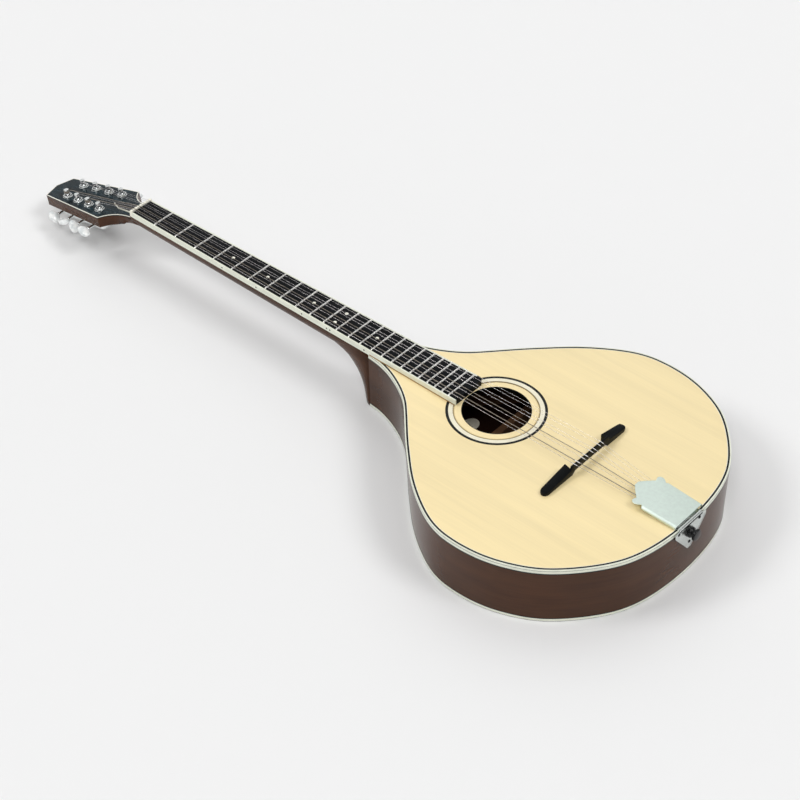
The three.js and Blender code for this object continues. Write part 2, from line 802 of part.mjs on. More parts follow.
// A wing of the bridge: high beside the saddle, falling to a rounded tip
function bridgeWing({ turn, notch, reach, height }) {
  const front = bridgeY - saddleThickness / 2;
  const back = front + bridgeFootWidth;
  const tipInset = (bridgeFootWidth - bridgeTipWidth) / 2;
  const low = bodyDepth;
  const rows = [
    [notch, 0, bridgeFrontHeight, height],
    [reach - bridgeTipLength, 0, bridgeEndHeight, bridgeEndHeight],
    [reach - bridgeTipLength / 3, tipInset / 3, bridgeEndHeight, bridgeEndHeight],
    [reach, tipInset, bridgeTipHeight, bridgeTipHeight],
  ];
  return loft(rows.map(([x, inset, frontHeight, backHeight]) => [
    new THREE.Vector3(turn * x, front + inset, low),
    new THREE.Vector3(turn * x, back - inset, low),
    new THREE.Vector3(turn * x, back - inset, low + backHeight),
    new THREE.Vector3(turn * x, front + inset, low + frontHeight),
  ]));
}

// The saddle is a thin bar over an arch, between the two wings
function bridge() {
  const { bass, treble } = bridgeWings;
  const sides = [[-1, bass.notch], [1, treble.notch]];
  const half = (turn, notch, lift) => [
    [turn * (notch + saddleThickness), 0], [turn * (notch - archEndInset + lift), 0],
    [turn * (notch - archEndInset), lift],
  ];
  const [bassFoot, trebleFoot] = sides.map(([turn, notch]) => half(turn, notch, archHeight));
  const crest = sides.map(([turn, notch]) => [
    [turn * (notch + saddleThickness), bridgeFrontHeight], [turn * notch, bridgeHeight],
  ]);
  const profile = [...bassFoot, ...trebleFoot.reverse(), ...crest[1], ...crest[0].reverse()];
  const saddle = loft([-1, 1].map((turn) => profile.map(
    ([x, z]) => new THREE.Vector3(x, bridgeY + (turn * saddleThickness) / 2, bodyDepth + z),
  )));
  const places = strings.map((string) => string.bridgeX);
  const reach = saddleThickness / 2;
  const slots = stringSlots(places, bridgeY - reach, bridgeY + reach, bridgeTop, 0);
  return cut(join(saddle, bridgeWing(bass), bridgeWing(treble)), ...slots);
}

function rodCover() {
  const start = headFaceStart;
  const length = coverLength;
  const half = [
    [1, 0], [0.87, 0.68], [0.55, 0.8], [0.3, 0.93], [0, 1],
  ].map(([wide, along]) => new THREE.Vector2(-wide * coverHalfWidth, start + along * length));
  return prism([...half, ...mirrored(half).reverse().slice(1)], 0, coverThickness);
}

const neckWood = join(neckShaft(), heel(), headRoot(), headSlab(), tenon());
add('neck', cut(neckWood, rodChannel()), materials.mahogany);
add('truss_rod', trussRod(), materials.steel);
add('fingerboard', fingerboard(), materials.rosewood);
add('fingerboard_binding_bass', boardBinding(-1), materials.cream);
add('fingerboard_binding_treble', boardBinding(1), materials.cream);
add('nut', nut(), materials.bone);
add('bridge', bridge(), materials.plastic);
add('headstock_veneer', headVeneer(), materials.blackFace, headstock);
add('headstock_binding', headBinding(), materials.cream, headstock);
add('truss_rod_cover', rodCover(), materials.plastic, headstock);

// Machine heads. The gear turns inside the housing under the headstock, and the worm beside it.
const wormOffset = gearRadius + wormRadius + runningGap;
const housingTop = -headThickness - glueGap;
const gearMiddle = housingTop - housingDepth / 2;
const gearLow = gearMiddle - gearThickness / 2;
const gearHigh = gearMiddle + gearThickness / 2;

function tunerHousing(turn) {
  const nearEnd = -gearRadius - runningGap - housingWall;
  const farEnd = wormOffset + wormRadius + runningGap + housingWall;
  const box = block(
    -housingHalfWidth, housingHalfWidth, nearEnd, farEnd, housingTop - housingDepth, housingTop,
  );
  const tube = rod(tubeRadius, housingTop - housingWall, bushingHeight / 2);
  const washer = rod(washerRadius, slotClearance / 2, washerThickness);
  const hex = rod(bushingRadius, washerThickness / 2, bushingHeight, 6);
  const bore = rod(postShaftRadius + runningGap, gearMiddle, bushingHeight + overrun);
  const gearRoom = rod(gearRadius + runningGap, gearLow - runningGap, gearHigh + runningGap);
  const wormBore = rod(wormRadius + runningGap, -housingHalfWidth + housingWall, housingHalfWidth + overrun)
    .rotateY((turn * Math.PI) / 2)
    .translate(0, wormOffset, gearMiddle);
  return cut(join(box, tube, washer, hex), bore, gearRoom, wormBore);
}

function tunerPost() {
  const waistLow = bushingHeight + slotClearance;
  const waistHigh = postHeight - postCapHeight;
  return turned([
    [0, gearLow], [gearRadius, gearLow], [gearRadius, gearHigh], [postShaftRadius, gearHigh],
    [postShaftRadius, waistLow], [postWaistRadius, waistLow + slotClearance], [postWaistRadius, waistHigh],
    [postRadius, waistHigh + postCapHeight / 4], [postRadius, postHeight - postCapHeight / 4],
    [postWaistRadius, postHeight], [0, postHeight],
  ], gearSides);
}

// The button and its worm shaft, drawn along z from the inner end of the worm outwards
function tunerButton(reach, restTurn) {
  const shaftStart = -housingHalfWidth + housingWall + runningGap;
  const neckStart = reach - buttonHalfAlong - buttonNeckLength;
  const shaft = turned([
    [0, shaftStart], [wormRadius, shaftStart], [wormRadius, neckStart],
    [buttonNeckRadius, neckStart + buttonNeckLength / 2],
    [buttonNeckRadius, reach - buttonHalfAlong / 2], [0, reach],
  ], gearSides);
  const knob = new THREE.SphereGeometry(1, roundSides, roundSides / 2);
  knob.scale(buttonHalfAcross, buttonHalfThickness, buttonHalfAlong).translate(0, 0, reach);
  return join(shaft, knob).rotateZ(THREE.MathUtils.degToRad(restTurn));
}

// Rest turns of the buttons in degrees, from the nut outwards, as they were left after tuning
const buttonRestTurns = { bass: [35, 90, 15, 75], treble: [60, 20, 80, 40] };

const headEdgeAt = (s) => headShoulderHalf
  + ((headEndHalf - headShoulderHalf) * (s - headShoulderFromNut)) / (headEndFromNut - headShoulderFromNut);

for (const { turn, k, place } of tuners) {
  const row = turn < 0 ? 'bass' : 'treble';
  const label = `tuner_${row}_${k + 1}`;
  const station = new THREE.Group();
  station.position.set(place.x, place.y, 0);
  headstock.add(station);
  add(`${label}_housing`, tunerHousing(turn), materials.nickel, station);
  add(`${label}_post`, tunerPost(), materials.nickel, station);
  const clear = buttonReachAtNut + ((buttonReachAtEnd - buttonReachAtNut) * k) / (tunerCount - 1);
  const reach = headEdgeAt(place.y) + clear - Math.abs(place.x);
  const knob = tunerButton(reach, buttonRestTurns[row][k]);
  const button = add(`${label}_button`, knob, materials.pearl, station);
  button.position.set(0, wormOffset, gearMiddle);
  button.rotation.y = (turn * Math.PI) / 2;
}

// A string runs from its hook over the bridge and the nut, and winds down its post
function stringRoute(string) {
  const { radius, turns, tuner } = string;
  const route = [
    new THREE.Vector3(string.hookX, hookY + hookWidth / 2 + slotClearance + radius, hookZ),
    new THREE.Vector3(string.bridgeX, bridgeY, bridgeTop + stringSeat),
    new THREE.Vector3(string.nutX, glueGap, nutTop + stringSeat),
  ];
  const place = tunerPlace(tuner.k, tuner.turn);
  const windRadius = postWaistRadius + slotClearance + radius;
  const pitch = 2 * radius + turnGap;
  const top = postHeight - postCapHeight - radius - slotClearance;
  for (let i = 0; i <= turns * stepsPerTurn; i += 1) {
    const angle = (2 * Math.PI * i) / stepsPerTurn;
    const local = new THREE.Vector3(
      place.x - tuner.turn * windRadius * Math.cos(angle),
      place.y + windRadius * Math.sin(angle),
      top - (pitch * i) / stepsPerTurn,
    );
    route.push(local.applyMatrix4(headstock.matrix));
  }
  return route;
}

// A tube of few sides through every point of a route, with its sections carried along without twist
function tube(route, radius) {
  const tangents = route.map((point, i) => {
    const before = route[i - 1] ?? point;
    const after = route[i + 1] ?? point;
    const into = new THREE.Vector3().subVectors(point, before).normalize();
    const out = new THREE.Vector3().subVectors(after, point).normalize();
    return into.add(out).normalize();
  });
  const side = new THREE.Vector3(0, 0, 1).cross(tangents[0]).normalize();
  const sections = route.map((point, i) => {
    side.addScaledVector(tangents[i], -side.dot(tangents[i])).normalize();
    const up = new THREE.Vector3().crossVectors(tangents[i], side);
    return Array.from({ length: stringSides }, (_, corner) => {
      const angle = (2 * Math.PI * corner) / stringSides;
      return point.clone()
        .addScaledVector(side, radius * Math.cos(angle))
        .addScaledVector(up, radius * Math.sin(angle));
    });
  });
  return loft(sections);
}

// Least gap between the turns of one winding
function leastTurnGap(route, radius) {
  let least = Infinity;
  for (let i = 0; i < route.length; i += 1) {
    for (let j = i + stepsPerTurn / 2; j < route.length; j += 1) {
      least = Math.min(least, route[i].distanceTo(route[j]) - 2 * radius);
    }
  }
  return least;
}

strings.forEach((string, i) => {
  const route = stringRoute(string);
  const gap = leastTurnGap(route, string.radius);
  console.log(`string_${i + 1}: least gap between its turns ${gap.toFixed(2)} mm`);
  const wound = string.radius > plainStringLimit;
  add(`string_${i + 1}`, tube(route, string.radius), wound ? materials.bronze : materials.steel);
});

// Tailpiece base: a plate under the cap with a hook for each string, bent down over the tail
function tailpieceBase() {
  const outside = tailY - slotClearance - tailBaseThickness;
  const plateTop = bodyDepth + tailBaseThickness;
  const [left, right] = [-1, 1].map((turn) => tailBaseOffset + turn * tailBaseHalfWidth);
  const plate = block(left, right, outside, tailY + tailBaseLength, bodyDepth, plateTop);
  const bracketPoints = [
    [tailBaseHalfWidth, plateTop], [tailBaseHalfWidth, bodyDepth],
    [bracketHalfWidth, bodyDepth - tailBaseThickness], [bracketHalfWidth, bodyDepth - bracketShoulder],
    [bracketTipHalf, bodyDepth - bracketDrop],
  ];
  const shape = [...bracketPoints, ...bracketPoints.map(([x, z]) => [-x, z]).reverse()];
  const bracket = loft([outside, outside + tailBaseThickness].map(
    (y) => shape.map(([x, z]) => new THREE.Vector3(tailBaseOffset + x, y, z)),
  ));
  const hooks = strings.map(({ hookX }) => block(
    hookX - hookWidth / 2, hookX + hookWidth / 2, hookY - hookWidth / 2, hookY + hookWidth / 2,
    bodyDepth, plateTop + hookHeight,
  ));
  const slotY = tailY + tailSlotWidth;
  const slot = block(
    tailBaseOffset - tailSlotHalf, tailBaseOffset + tailSlotHalf,
    slotY - tailSlotWidth / 2, slotY + tailSlotWidth / 2, bodyDepth - overrun, plateTop + overrun,
  );
  return cut(join(plate, bracket, ...hooks), slot, pinHole(slotClearance + pinNeckRadius - pinRadius));
}

// Tailpiece cap, seen from above: half width and distance from its rear edge, as shares of its sizes
const capOutlineShares = [
  [0.957, 0], [1, 0.636], [0.872, 0.667], [0.98, 0.71], [1.04, 0.76], [1, 0.81], [0.91, 0.836],
  [0.8, 0.825], [0.69, 0.812], [0.35, 0.93], [0.12, 0.995],
];

function tailpieceCap() {
  const half = capOutlineShares.map(
    ([wide, along]) => new THREE.Vector2(-wide * capHalfWidth, along * capLength),
  );
  const plate = prism([...half, ...mirrored(half).reverse()].reverse(), -capThickness, 0);
  const skirts = [-1, 1].map((turn) => {
    const outer = turn * capHalfWidth * capOutlineShares[0][0];
    const [low, high] = [outer, outer - turn * capThickness].sort((a, b) => a - b);
    return block(low, high, 0, capSkirtLength, -capSkirtHeight, -capThickness / 2);
  });
  return join(plate, ...skirts);
}

const cap = add('tailpiece_cover', tailpieceCap(), materials.nickel);
cap.position.set(0, tailY + tailSlotWidth * 2, bodyDepth + capHeight);
cap.rotation.x = THREE.MathUtils.degToRad(capTilt);

function strapButton() {
  const plateFace = -slotClearance - tailBaseThickness - slotClearance;
  const outer = plateFace - pinStandoff;
  return turned([
    [0, pinLength - pinStandoff], [pinRadius - glueGap, pinLength - pinStandoff],
    [pinRadius - glueGap, plateFace], [pinCollarRadius, plateFace],
    [pinCollarRadius, plateFace - pinCollarThickness],
    [pinNeckRadius, plateFace - pinCollarThickness * 2],
    [pinNeckRadius, outer + pinFlangeThickness + pinFlangeSlope],
    [pinFlangeRadius, outer + pinFlangeThickness], [pinFlangeRadius, outer + pinFlangeThickness / 4],
    [pinCollarRadius, outer], [0, outer],
  ].reverse(), roundSides * 2).rotateX(-Math.PI / 2).translate(tailBaseOffset, tailY, pinZ);
}

add('tailpiece_base', tailpieceBase(), materials.nickel);
add('strap_button', strapButton(), materials.plastic);

// The origin goes to the middle of the footprint, on the surface that the back rests on
const bounds = new THREE.Box3().setFromObject(instrument, true);
const part = new THREE.Group();
const middle = bounds.getCenter(new THREE.Vector3());
instrument.position.set(-middle.x, -middle.y, -bounds.min.z);
part.add(instrument);

export default part;
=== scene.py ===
"""Irish bouzouki: the visible pieces, finishes, floor, lamps and camera round the packed frame."""

import json
import math

import bmesh
import bpy
from bpy.props import FloatProperty, FloatVectorProperty, IntProperty, PointerProperty
from mathutils import Matrix, Vector


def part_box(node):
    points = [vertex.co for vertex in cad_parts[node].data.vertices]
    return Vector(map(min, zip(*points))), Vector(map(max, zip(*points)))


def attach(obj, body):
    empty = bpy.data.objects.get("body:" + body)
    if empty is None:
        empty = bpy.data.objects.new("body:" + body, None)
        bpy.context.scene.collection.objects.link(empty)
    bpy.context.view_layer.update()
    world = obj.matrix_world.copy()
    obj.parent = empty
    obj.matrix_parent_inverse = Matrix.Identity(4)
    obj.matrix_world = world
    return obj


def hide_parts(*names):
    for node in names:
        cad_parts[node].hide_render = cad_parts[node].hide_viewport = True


bl_info = {
    "name": "Irish Bouzouki",
    "version": (1, 0, 0),
    "blender": (4, 5, 0),
    "location": "3D View > Sidebar > Bouzouki",
    "description": "Builds the visible pieces of an eight-string bouzouki round its packed frame",
    "category": "Object",
}

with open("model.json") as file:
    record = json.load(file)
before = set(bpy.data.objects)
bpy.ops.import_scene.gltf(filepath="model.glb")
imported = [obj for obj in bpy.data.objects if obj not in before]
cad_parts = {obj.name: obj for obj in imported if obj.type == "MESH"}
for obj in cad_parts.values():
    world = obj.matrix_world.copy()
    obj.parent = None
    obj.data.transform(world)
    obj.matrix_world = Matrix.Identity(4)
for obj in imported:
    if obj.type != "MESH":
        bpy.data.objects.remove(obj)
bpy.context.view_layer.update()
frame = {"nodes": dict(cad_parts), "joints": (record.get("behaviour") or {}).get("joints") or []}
MM = 0.001
ROOT = "instrument"
WELD_DISTANCE = 0.002 * MM
FLAT_ANGLE = math.radians(0.3)
SMOOTH_ANGLE = math.radians(32)
HARD_ANGLE = math.radians(35)
JOINTS = {joint["name"]: joint for joint in frame["joints"]}
TUNERS = [f"tuner_{row}_{k}" for row in ("bass", "treble") for k in (1, 2, 3, 4)]
WOUND_STRINGS = (2, 4)


def linear(text):
    """An sRGB hex colour as the three linear values that Blender's sockets take."""
    parts = [int(text[i:i + 2], 16) / 255 for i in (1, 3, 5)]
    return tuple(c / 12.92 if c <= 0.04045 else ((c + 0.055) / 1.055) ** 2.4 for c in parts)


# Sizes and colours that a user would change


class BouzoukiBody(bpy.types.PropertyGroup):
    spruce: FloatVectorProperty(
        name="Spruce", description="Colour of the lacquered soundboard", subtype="COLOR",
        default=linear("#F5E1AD"))
    stain: FloatVectorProperty(
        name="Stain", description="Colour of the stained mahogany", subtype="COLOR",
        default=linear("#452917"))
    ivoroid: FloatVectorProperty(
        name="Binding", description="Colour of the celluloid bindings", subtype="COLOR",
        default=linear("#E3E6D5"))
    purfling: FloatProperty(
        name="Purfling", description="Width of the black line inside the top binding", unit="LENGTH",
        default=2 * MM, min=0.5 * MM, max=3 * MM)


class BouzoukiNeck(bpy.types.PropertyGroup):
    scale_length: FloatProperty(
        name="Scale length", description="Nut to octave doubled", unit="LENGTH", default=0.66)
    frets: IntProperty(name="Frets", description="Number of frets", default=24, min=1, max=24)
    dot: FloatProperty(
        name="Dot radius", description="Radius of the position dots", unit="LENGTH",
        default=2.1 * MM)


class BouzoukiStrings(bpy.types.PropertyGroup):
    sides: IntProperty(
        name="Sides", description="Sides of a string's section", default=10, min=6)


class BouzoukiStage(bpy.types.PropertyGroup):
    floor: FloatVectorProperty(
        name="Floor", description="Colour of the paper floor", subtype="COLOR",
        default=linear("#EFEFEF"))
    left_lamp: FloatProperty(
        name="Left lamp", description="Strength of the left softbox", default=0.82)
    right_lamp: FloatProperty(
        name="Right lamp", description="Strength of the right softbox", default=0.86)
    back_lamp: FloatProperty(
        name="Back lamp", description="Strength of the softbox behind the camera", default=0.8)
    overhead: FloatProperty(
        name="Overhead", description="Strength of the wide softbox above", default=0.35)
    room: FloatProperty(
        name="Room", description="Strength of the light all round", default=1.0)


# Materials

# The width of a flake in pearl celluloid, and the spacing of a moulded surface's orange peel
PEARL_FLAKE = 3.2 * MM
ORANGE_PEEL = 1.5 * MM


def add_node(tree, kind, settings=None, links=None):
    """Adds one node, with its settings by attribute or socket and its links by socket."""
    node = tree.nodes.new("ShaderNode" + kind)
    for key, value in (settings or {}).items():
        if hasattr(node, str(key)):
            setattr(node, key, value)
        else:
            node.inputs[key].default_value = value
    for key, socket in (links or {}).items():
        tree.links.new(socket, node.inputs[key])
    return node


def shaded(name, colour, roughness, **sockets):
    """A material with only its shader, and the shader's constant sockets set."""
    made = bpy.data.materials.new(name)
    made.use_nodes = True
    tree = made.node_tree
    shader = tree.nodes["Principled BSDF"]
    shader.inputs["Base Color"].default_value = (*colour, 1)
    shader.inputs["Roughness"].default_value = roughness
    for key, value in sockets.items():
        shader.inputs[key.replace("_", " ")].default_value = value
    made.diffuse_color = (*colour, 1)
    return made, tree, shader


def tinted(colour, factor):
    """A colour made darker or lighter by a factor."""
    return tuple(min(1, c * factor) for c in colour)


def stretched_noise(tree, spacing, detail=3.0):
    """Noise in object space, one blob per spacing in metres on each axis."""
    place = add_node(tree, "TexCoord")
    mapping = add_node(tree, "Mapping", {"Scale": [1 / s for s in spacing]},
                       {"Vector": place.outputs["Object"]})
    return add_node(tree, "TexNoise", {"Scale": 1.0, "Detail": detail, "Roughness": 0.55},
                    {"Vector": mapping.outputs["Vector"]})


def graded(tree, factor, stops):
    """A colour ramp with the given (place, colour) stops."""
    ramp = add_node(tree, "ValToRGB", None, {"Fac": factor})
    elements = ramp.color_ramp.elements
    while len(elements) < len(stops):
        elements.new(0.5)
    for element, (place, colour) in zip(elements, stops):
        element.position = place
        element.color = (*colour, 1)
    return ramp


def bumped(tree, shader, height, depth):
    """Gives a shader relief of the given depth in metres."""
    bump = add_node(tree, "Bump", {"Strength": 1.0, "Distance": depth}, {"Height": height})
    tree.links.new(bump.outputs["Normal"], shader.inputs["Normal"])


def wood(name, colour, ring, streak, contrast, roughness, coat, pore=0.02 * MM, level=0.5):
    """Lacquered or bare wood: slow streaks of colour, fine rings and shallow pores along the grain."""
    made, tree, shader = shaded(name, colour, roughness, Coat_Weight=coat, Coat_Roughness=0.06,
                                Specular_IOR_Level=level)
    slow = stretched_noise(tree, streak)
    fine = stretched_noise(tree, ring, 5.0)
    both = add_node(tree, "Math", {"operation": "MULTIPLY_ADD", 1: 0.45},
                    {0: fine.outputs["Fac"], 2: slow.outputs["Fac"]})
    ramp = graded(tree, both.outputs["Value"], [
        (0.5, tinted(colour, 1 - contrast)), (0.72, colour), (0.95, tinted(colour, 1 + contrast))])
    tree.links.new(ramp.outputs["Color"], shader.inputs["Base Color"])
    bumped(tree, shader, fine.outputs["Fac"], pore)
    return made


def metal(name, colour, roughness, grit=0.6 * MM, depth=0.004 * MM, contrast=0.08):
    """Polished or plated metal with faint handling marks in its gloss."""
    made, tree, shader = shaded(name, colour, roughness, Metallic=1.0)
    marks = stretched_noise(tree, (grit * 6, grit * 6, grit * 6), 6.0)
    spread = add_node(tree, "MapRange", {"To Min": roughness * 0.8, "To Max": roughness * 1.35},
                      {"Value": marks.outputs["Fac"]})
    tree.links.new(spread.outputs["Result"], shader.inputs["Roughness"])
    ramp = graded(tree, marks.outputs["Fac"], [(0.3, tinted(colour, 1 - contrast)), (0.7, colour)])
    tree.links.new(ramp.outputs["Color"], shader.inputs["Base Color"])
    fine = stretched_noise(tree, (grit, grit, grit), 2.0)
    bumped(tree, shader, fine.outputs["Fac"], depth)
    return made


def plastic(name, colour, roughness, coat=0.0, cloud=12 * MM, contrast=0.05, depth=0.006 * MM,
            level=0.5):
    """Celluloid, bone or moulded plastic: soft clouds of tone and a faint orange peel."""
    made, tree, shader = shaded(name, colour, roughness, Coat_Weight=coat, Coat_Roughness=0.08,
                                Specular_IOR_Level=level)
    clouds = stretched_noise(tree, (cloud, cloud, cloud), 3.0)
    ramp = graded(tree, clouds.outputs["Fac"], [
        (0.35, tinted(colour, 1 - contrast)), (0.65, tinted(colour, 1 + contrast))])
    tree.links.new(ramp.outputs["Color"], shader.inputs["Base Color"])
    peel = stretched_noise(tree, (ORANGE_PEEL, ORANGE_PEEL, ORANGE_PEEL), 2.0)
    bumped(tree, shader, peel.outputs["Fac"], depth)
    return made


def pearloid(name):
    """Pearl celluloid: overlapping pale flakes a few millimetres across, under clear gloss."""
    made, tree, shader = shaded(name, linear("#F2F2EE"), 0.22, Coat_Weight=0.6, Coat_Roughness=0.05)
    place = add_node(tree, "TexCoord")
    cells = add_node(tree, "TexVoronoi", {"feature": "SMOOTH_F1", "Scale": 1 / PEARL_FLAKE},
                     {"Vector": place.outputs["Object"]})
    ramp = graded(tree, cells.outputs["Color"], [
        (0.25, linear("#D9DEDE")), (0.5, linear("#F0F2F1")), (0.8, linear("#FCFCFA"))])
    tree.links.new(ramp.outputs["Color"], shader.inputs["Base Color"])
    bumped(tree, shader, cells.outputs["Distance"], 0.02 * MM)
    return made


def winding(name, colour, pitch):
    """Bronze wire wound round a core, its turns drawn coarser than the real 0.2 mm so that they show."""
    made, tree, shader = shaded(name, colour, 0.3, Metallic=1.0)
    place = add_node(tree, "TexCoord")
    waves = add_node(tree, "TexWave", {"bands_direction": "Y", "Scale": math.pi / 10 / pitch},
                     {"Vector": place.outputs["Object"]})
    ramp = graded(tree, waves.outputs["Color"], [(0.2, tinted(colour, 0.7)), (0.7, colour)])
    tree.links.new(ramp.outputs["Color"], shader.inputs["Base Color"])
    bumped(tree, shader, waves.outputs["Color"], 0.08 * MM)
    return made


FINISHES = {}


def make_finishes():
    body = bpy.context.scene.bouzouki_body
    # Spacing of the fine grain on each axis: along the neck, and level round the bent sides
    neck_grain = (1.6 * MM, 60 * MM, 1.6 * MM)
    side_grain = (60 * MM, 60 * MM, 1.4 * MM)
    FINISHES.update({
        # Quarter-sawn spruce under clear gloss: pale straw with faint straight streaks
        "spruce": wood("Lacquered sitka spruce", tuple(body.spruce), (1.8 * MM, 110 * MM, 3 * MM),
                       (16 * MM, 420 * MM, 30 * MM), 0.05, 0.4, 0.3),
        # Bent mahogany, stained and lacquered: deep brown, with grain that runs round the body
        "mahogany_side": wood("Stained mahogany, bent", tuple(body.stain), side_grain,
                              (140 * MM, 140 * MM, 24 * MM), 0.28, 0.2, 0.0, level=0.22),
        # Carved mahogany, stained and lacquered: deep brown, with grain that runs along the neck
        "mahogany": wood("Stained mahogany, carved", tuple(body.stain), neck_grain,
                         (14 * MM, 160 * MM, 14 * MM), 0.3, 0.25, 0.0, level=0.22),
        # Flat mahogany, stained, and darker and duller than the sides: painted shade for the inside of
        # the body seen through the hole
        "mahogany_back_painted_shade": wood("Stained mahogany, flat", linear("#22130C"), neck_grain,
                              (14 * MM, 160 * MM, 14 * MM), 0.25, 0.35, 0.0, level=0.22),
        # Bare inside wood, sawn and sanded: dry and mid brown
        "inner_wood": wood("Bare mahogany, sanded", linear("#6B4A30"), neck_grain,
                           (20 * MM, 120 * MM, 20 * MM), 0.2, 0.75, 0.0),
        # Ivoroid celluloid, scraped and buffed: cool cream with a soft gloss
        "binding": plastic("Ivoroid celluloid", tuple(body.ivoroid), 0.3, 0.4),
        # Black celluloid, buffed level with the wood: a plain dark line; the same black also paints the
        # shade under the tailpiece's bead
        "black_line": plastic("Black celluloid", linear("#070C0A"), 0.35, level=0.25),
        # White celluloid, buffed: a clean bright line
        "white_line": plastic("White celluloid", linear("#F2F0E2"), 0.3, 0.4),
        # Unbleached holly under lacquer: a warm off-white band
        "holly": plastic("Holly veneer, lacquered", linear("#EDE7CF"), 0.35, 0.4),
        # Dyed veneer under lacquer: a thin dull brown line
        "brown_line": plastic("Brown dyed veneer", linear("#857550"), 0.45, 0.3),
        # Ebonised hardwood, oiled: near black and dull, with open pores
        "rosewood": wood("Ebonised hardwood, oiled", linear("#0B0E11"), (1.2 * MM, 40 * MM, 2 * MM),
                         (9 * MM, 90 * MM, 9 * MM), 0.4, 0.5, 0.0, 0.04 * MM, 0.08),
        # Black lacquer over veneer, buffed: near black, its teal tint a painted sheen, with streaks
        # along the head
        "black_lacquer": wood("Black lacquered veneer", linear("#14242A"), (1.6 * MM, 60 * MM, 3 * MM),
                              (5 * MM, 90 * MM, 5 * MM), 0.75, 0.22, 0.0, 0.006 * MM, 0.13),
        # Blackened maple, lacquered: plain black with a low sheen
        "black_wood": wood("Blackened maple", linear("#060809"), (1.4 * MM, 30 * MM, 2 * MM),
                           (10 * MM, 60 * MM, 10 * MM), 0.3, 0.4, 0.0, 0.02 * MM, 0.1),
        # Bleached bone, polished: smooth warm white
        "bone": plastic("Bleached bone", linear("#F1EEDF"), 0.35, 0.1, 4 * MM, 0.04),
        # Nickel plate over pressed steel, polished: bright, with sharp reflections
        "nickel": metal("Nickel-plated steel", linear("#EAEDEC"), 0.14),
        # Nickel plate, buffed: bright, with blurred reflections
        "nickel_plate": metal("Buffed nickel plate", linear("#D6DBD8"), 0.24),
        # Nickel plate, brushed to a satin: soft and pale, with a cool green tone
        "nickel_satin": metal("Satin nickel plate", linear("#E8F5ED"), 0.5),
        # Nickel silver wire, dressed and polished: white lines across the board
        "fret": metal("Nickel silver wire", linear("#FAF9F5"), 0.25),
        # Drawn steel wire: thin bright lines
        "steel": metal("Plain drawn steel", linear("#D6D1D1"), 0.25),
        # Cast brass with machined teeth: dull yellow
        "bronze_cast": metal("Cast brass", linear("#9C7B45"), 0.35),
        # Bronze wire wound on steel: grey-brown, and darker than the plain strings
        "bronze": winding("Phosphor bronze winding", linear("#9E958A"), 0.5 * MM),
        # Pearl celluloid, cut and polished: white, with cloudy flakes
        "pearloid": pearloid("Pearl celluloid"),
        # Black ABS, injection moulded: glossy and even
        "black_plastic": plastic("Black moulded ABS", linear("#07080A"), 0.18, level=0.35),
        # Painted highlight: a short matt white band round a string where it crosses the black bridge,
        # standing for its bright glint there
        "painted_glint": plastic("White thread", linear("#F4F2EE"), 0.6, cloud=0.4 * MM, contrast=0.15),
        # Painted light: a matt pale patch in the dark of the body, standing for the light that falls
        # through the sound hole
        "paper": plastic("Blank cream paper", linear("#E9E2CF"), 0.85, cloud=6 * MM),
        # Painted shade: a thin brown line along the board's foot, under the pale binding, where it meets
        # the body
        "foot_shade": plastic("Brown stained edge", linear("#A07C48"), 0.5, cloud=8 * MM),
        # Blackened steel, as rolled: small dark screws; the same black paints the shade in the ring
        # round each tuner post
        "black_steel_and_shade": metal("Blackened steel", linear("#1B1C1E"), 0.35),
    })


# Mesh helpers


def to_mesh(name, bm):
    """Turns a bmesh into a mesh with its faces outwards, and frees it."""
    bmesh.ops.recalc_face_normals(bm, faces=bm.faces)
    mesh = bpy.data.meshes.new(name)
    bm.to_mesh(mesh)
    bm.free()
    return mesh


def add_piece(name, bm, finish, body=ROOT, replaces=()):
    """Links a bmesh as one smooth piece with its finish, and rides it on a body."""
    mesh = to_mesh(name, bm)
    mesh.materials.append(FINISHES[finish])
    for polygon in mesh.polygons:
        polygon.use_smooth = True
    mesh.set_sharp_from_angle(angle=SMOOTH_ANGLE)
    piece = bpy.data.objects.new(name, mesh)
    bpy.context.scene.collection.objects.link(piece)
    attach(piece, body)
    if replaces:
        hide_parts(*replaces)
    return piece


def split_wide(bm):
    """Cuts each face with more than four corners into triangles."""
    bmesh.ops.triangulate(bm, faces=[f for f in bm.faces if len(f.verts) > 4])
    return bm


def use_finish(node, finish):
    """Gives a frame node that shows as it is one of the finishes."""
    mesh = frame["nodes"][node].data
    mesh.materials.clear()
    mesh.materials.append(FINISHES[finish])


def welded(node):
    """A node's surface with its corners joined and its flat faces whole."""
    bm = bmesh.new()
    bm.from_mesh(frame["nodes"][node].data)
    bmesh.ops.remove_doubles(bm, verts=bm.verts, dist=WELD_DISTANCE)
    bmesh.ops.dissolve_limit(bm, angle_limit=FLAT_ANGLE, verts=bm.verts, edges=bm.edges)
    return bm


def softened(node, name, finish, edge=0.25 * MM, body=ROOT, reshape=None):
    """A piece with the node's shape, reshaped where asked, and its hard edges eased."""
    bm = welded(node)
    if reshape:
        reshape(bm)
    hard = [e for e in bm.edges if len(e.link_faces) == 2 and e.calc_face_angle(0) > HARD_ANGLE]
    if edge and hard:
        bmesh.ops.bevel(bm, geom=hard, offset=edge, segments=2, profile=0.5, affect="EDGES",
                        clamp_overlap=True)
    return add_piece(name, split_wide(bm), finish, body, (node,))


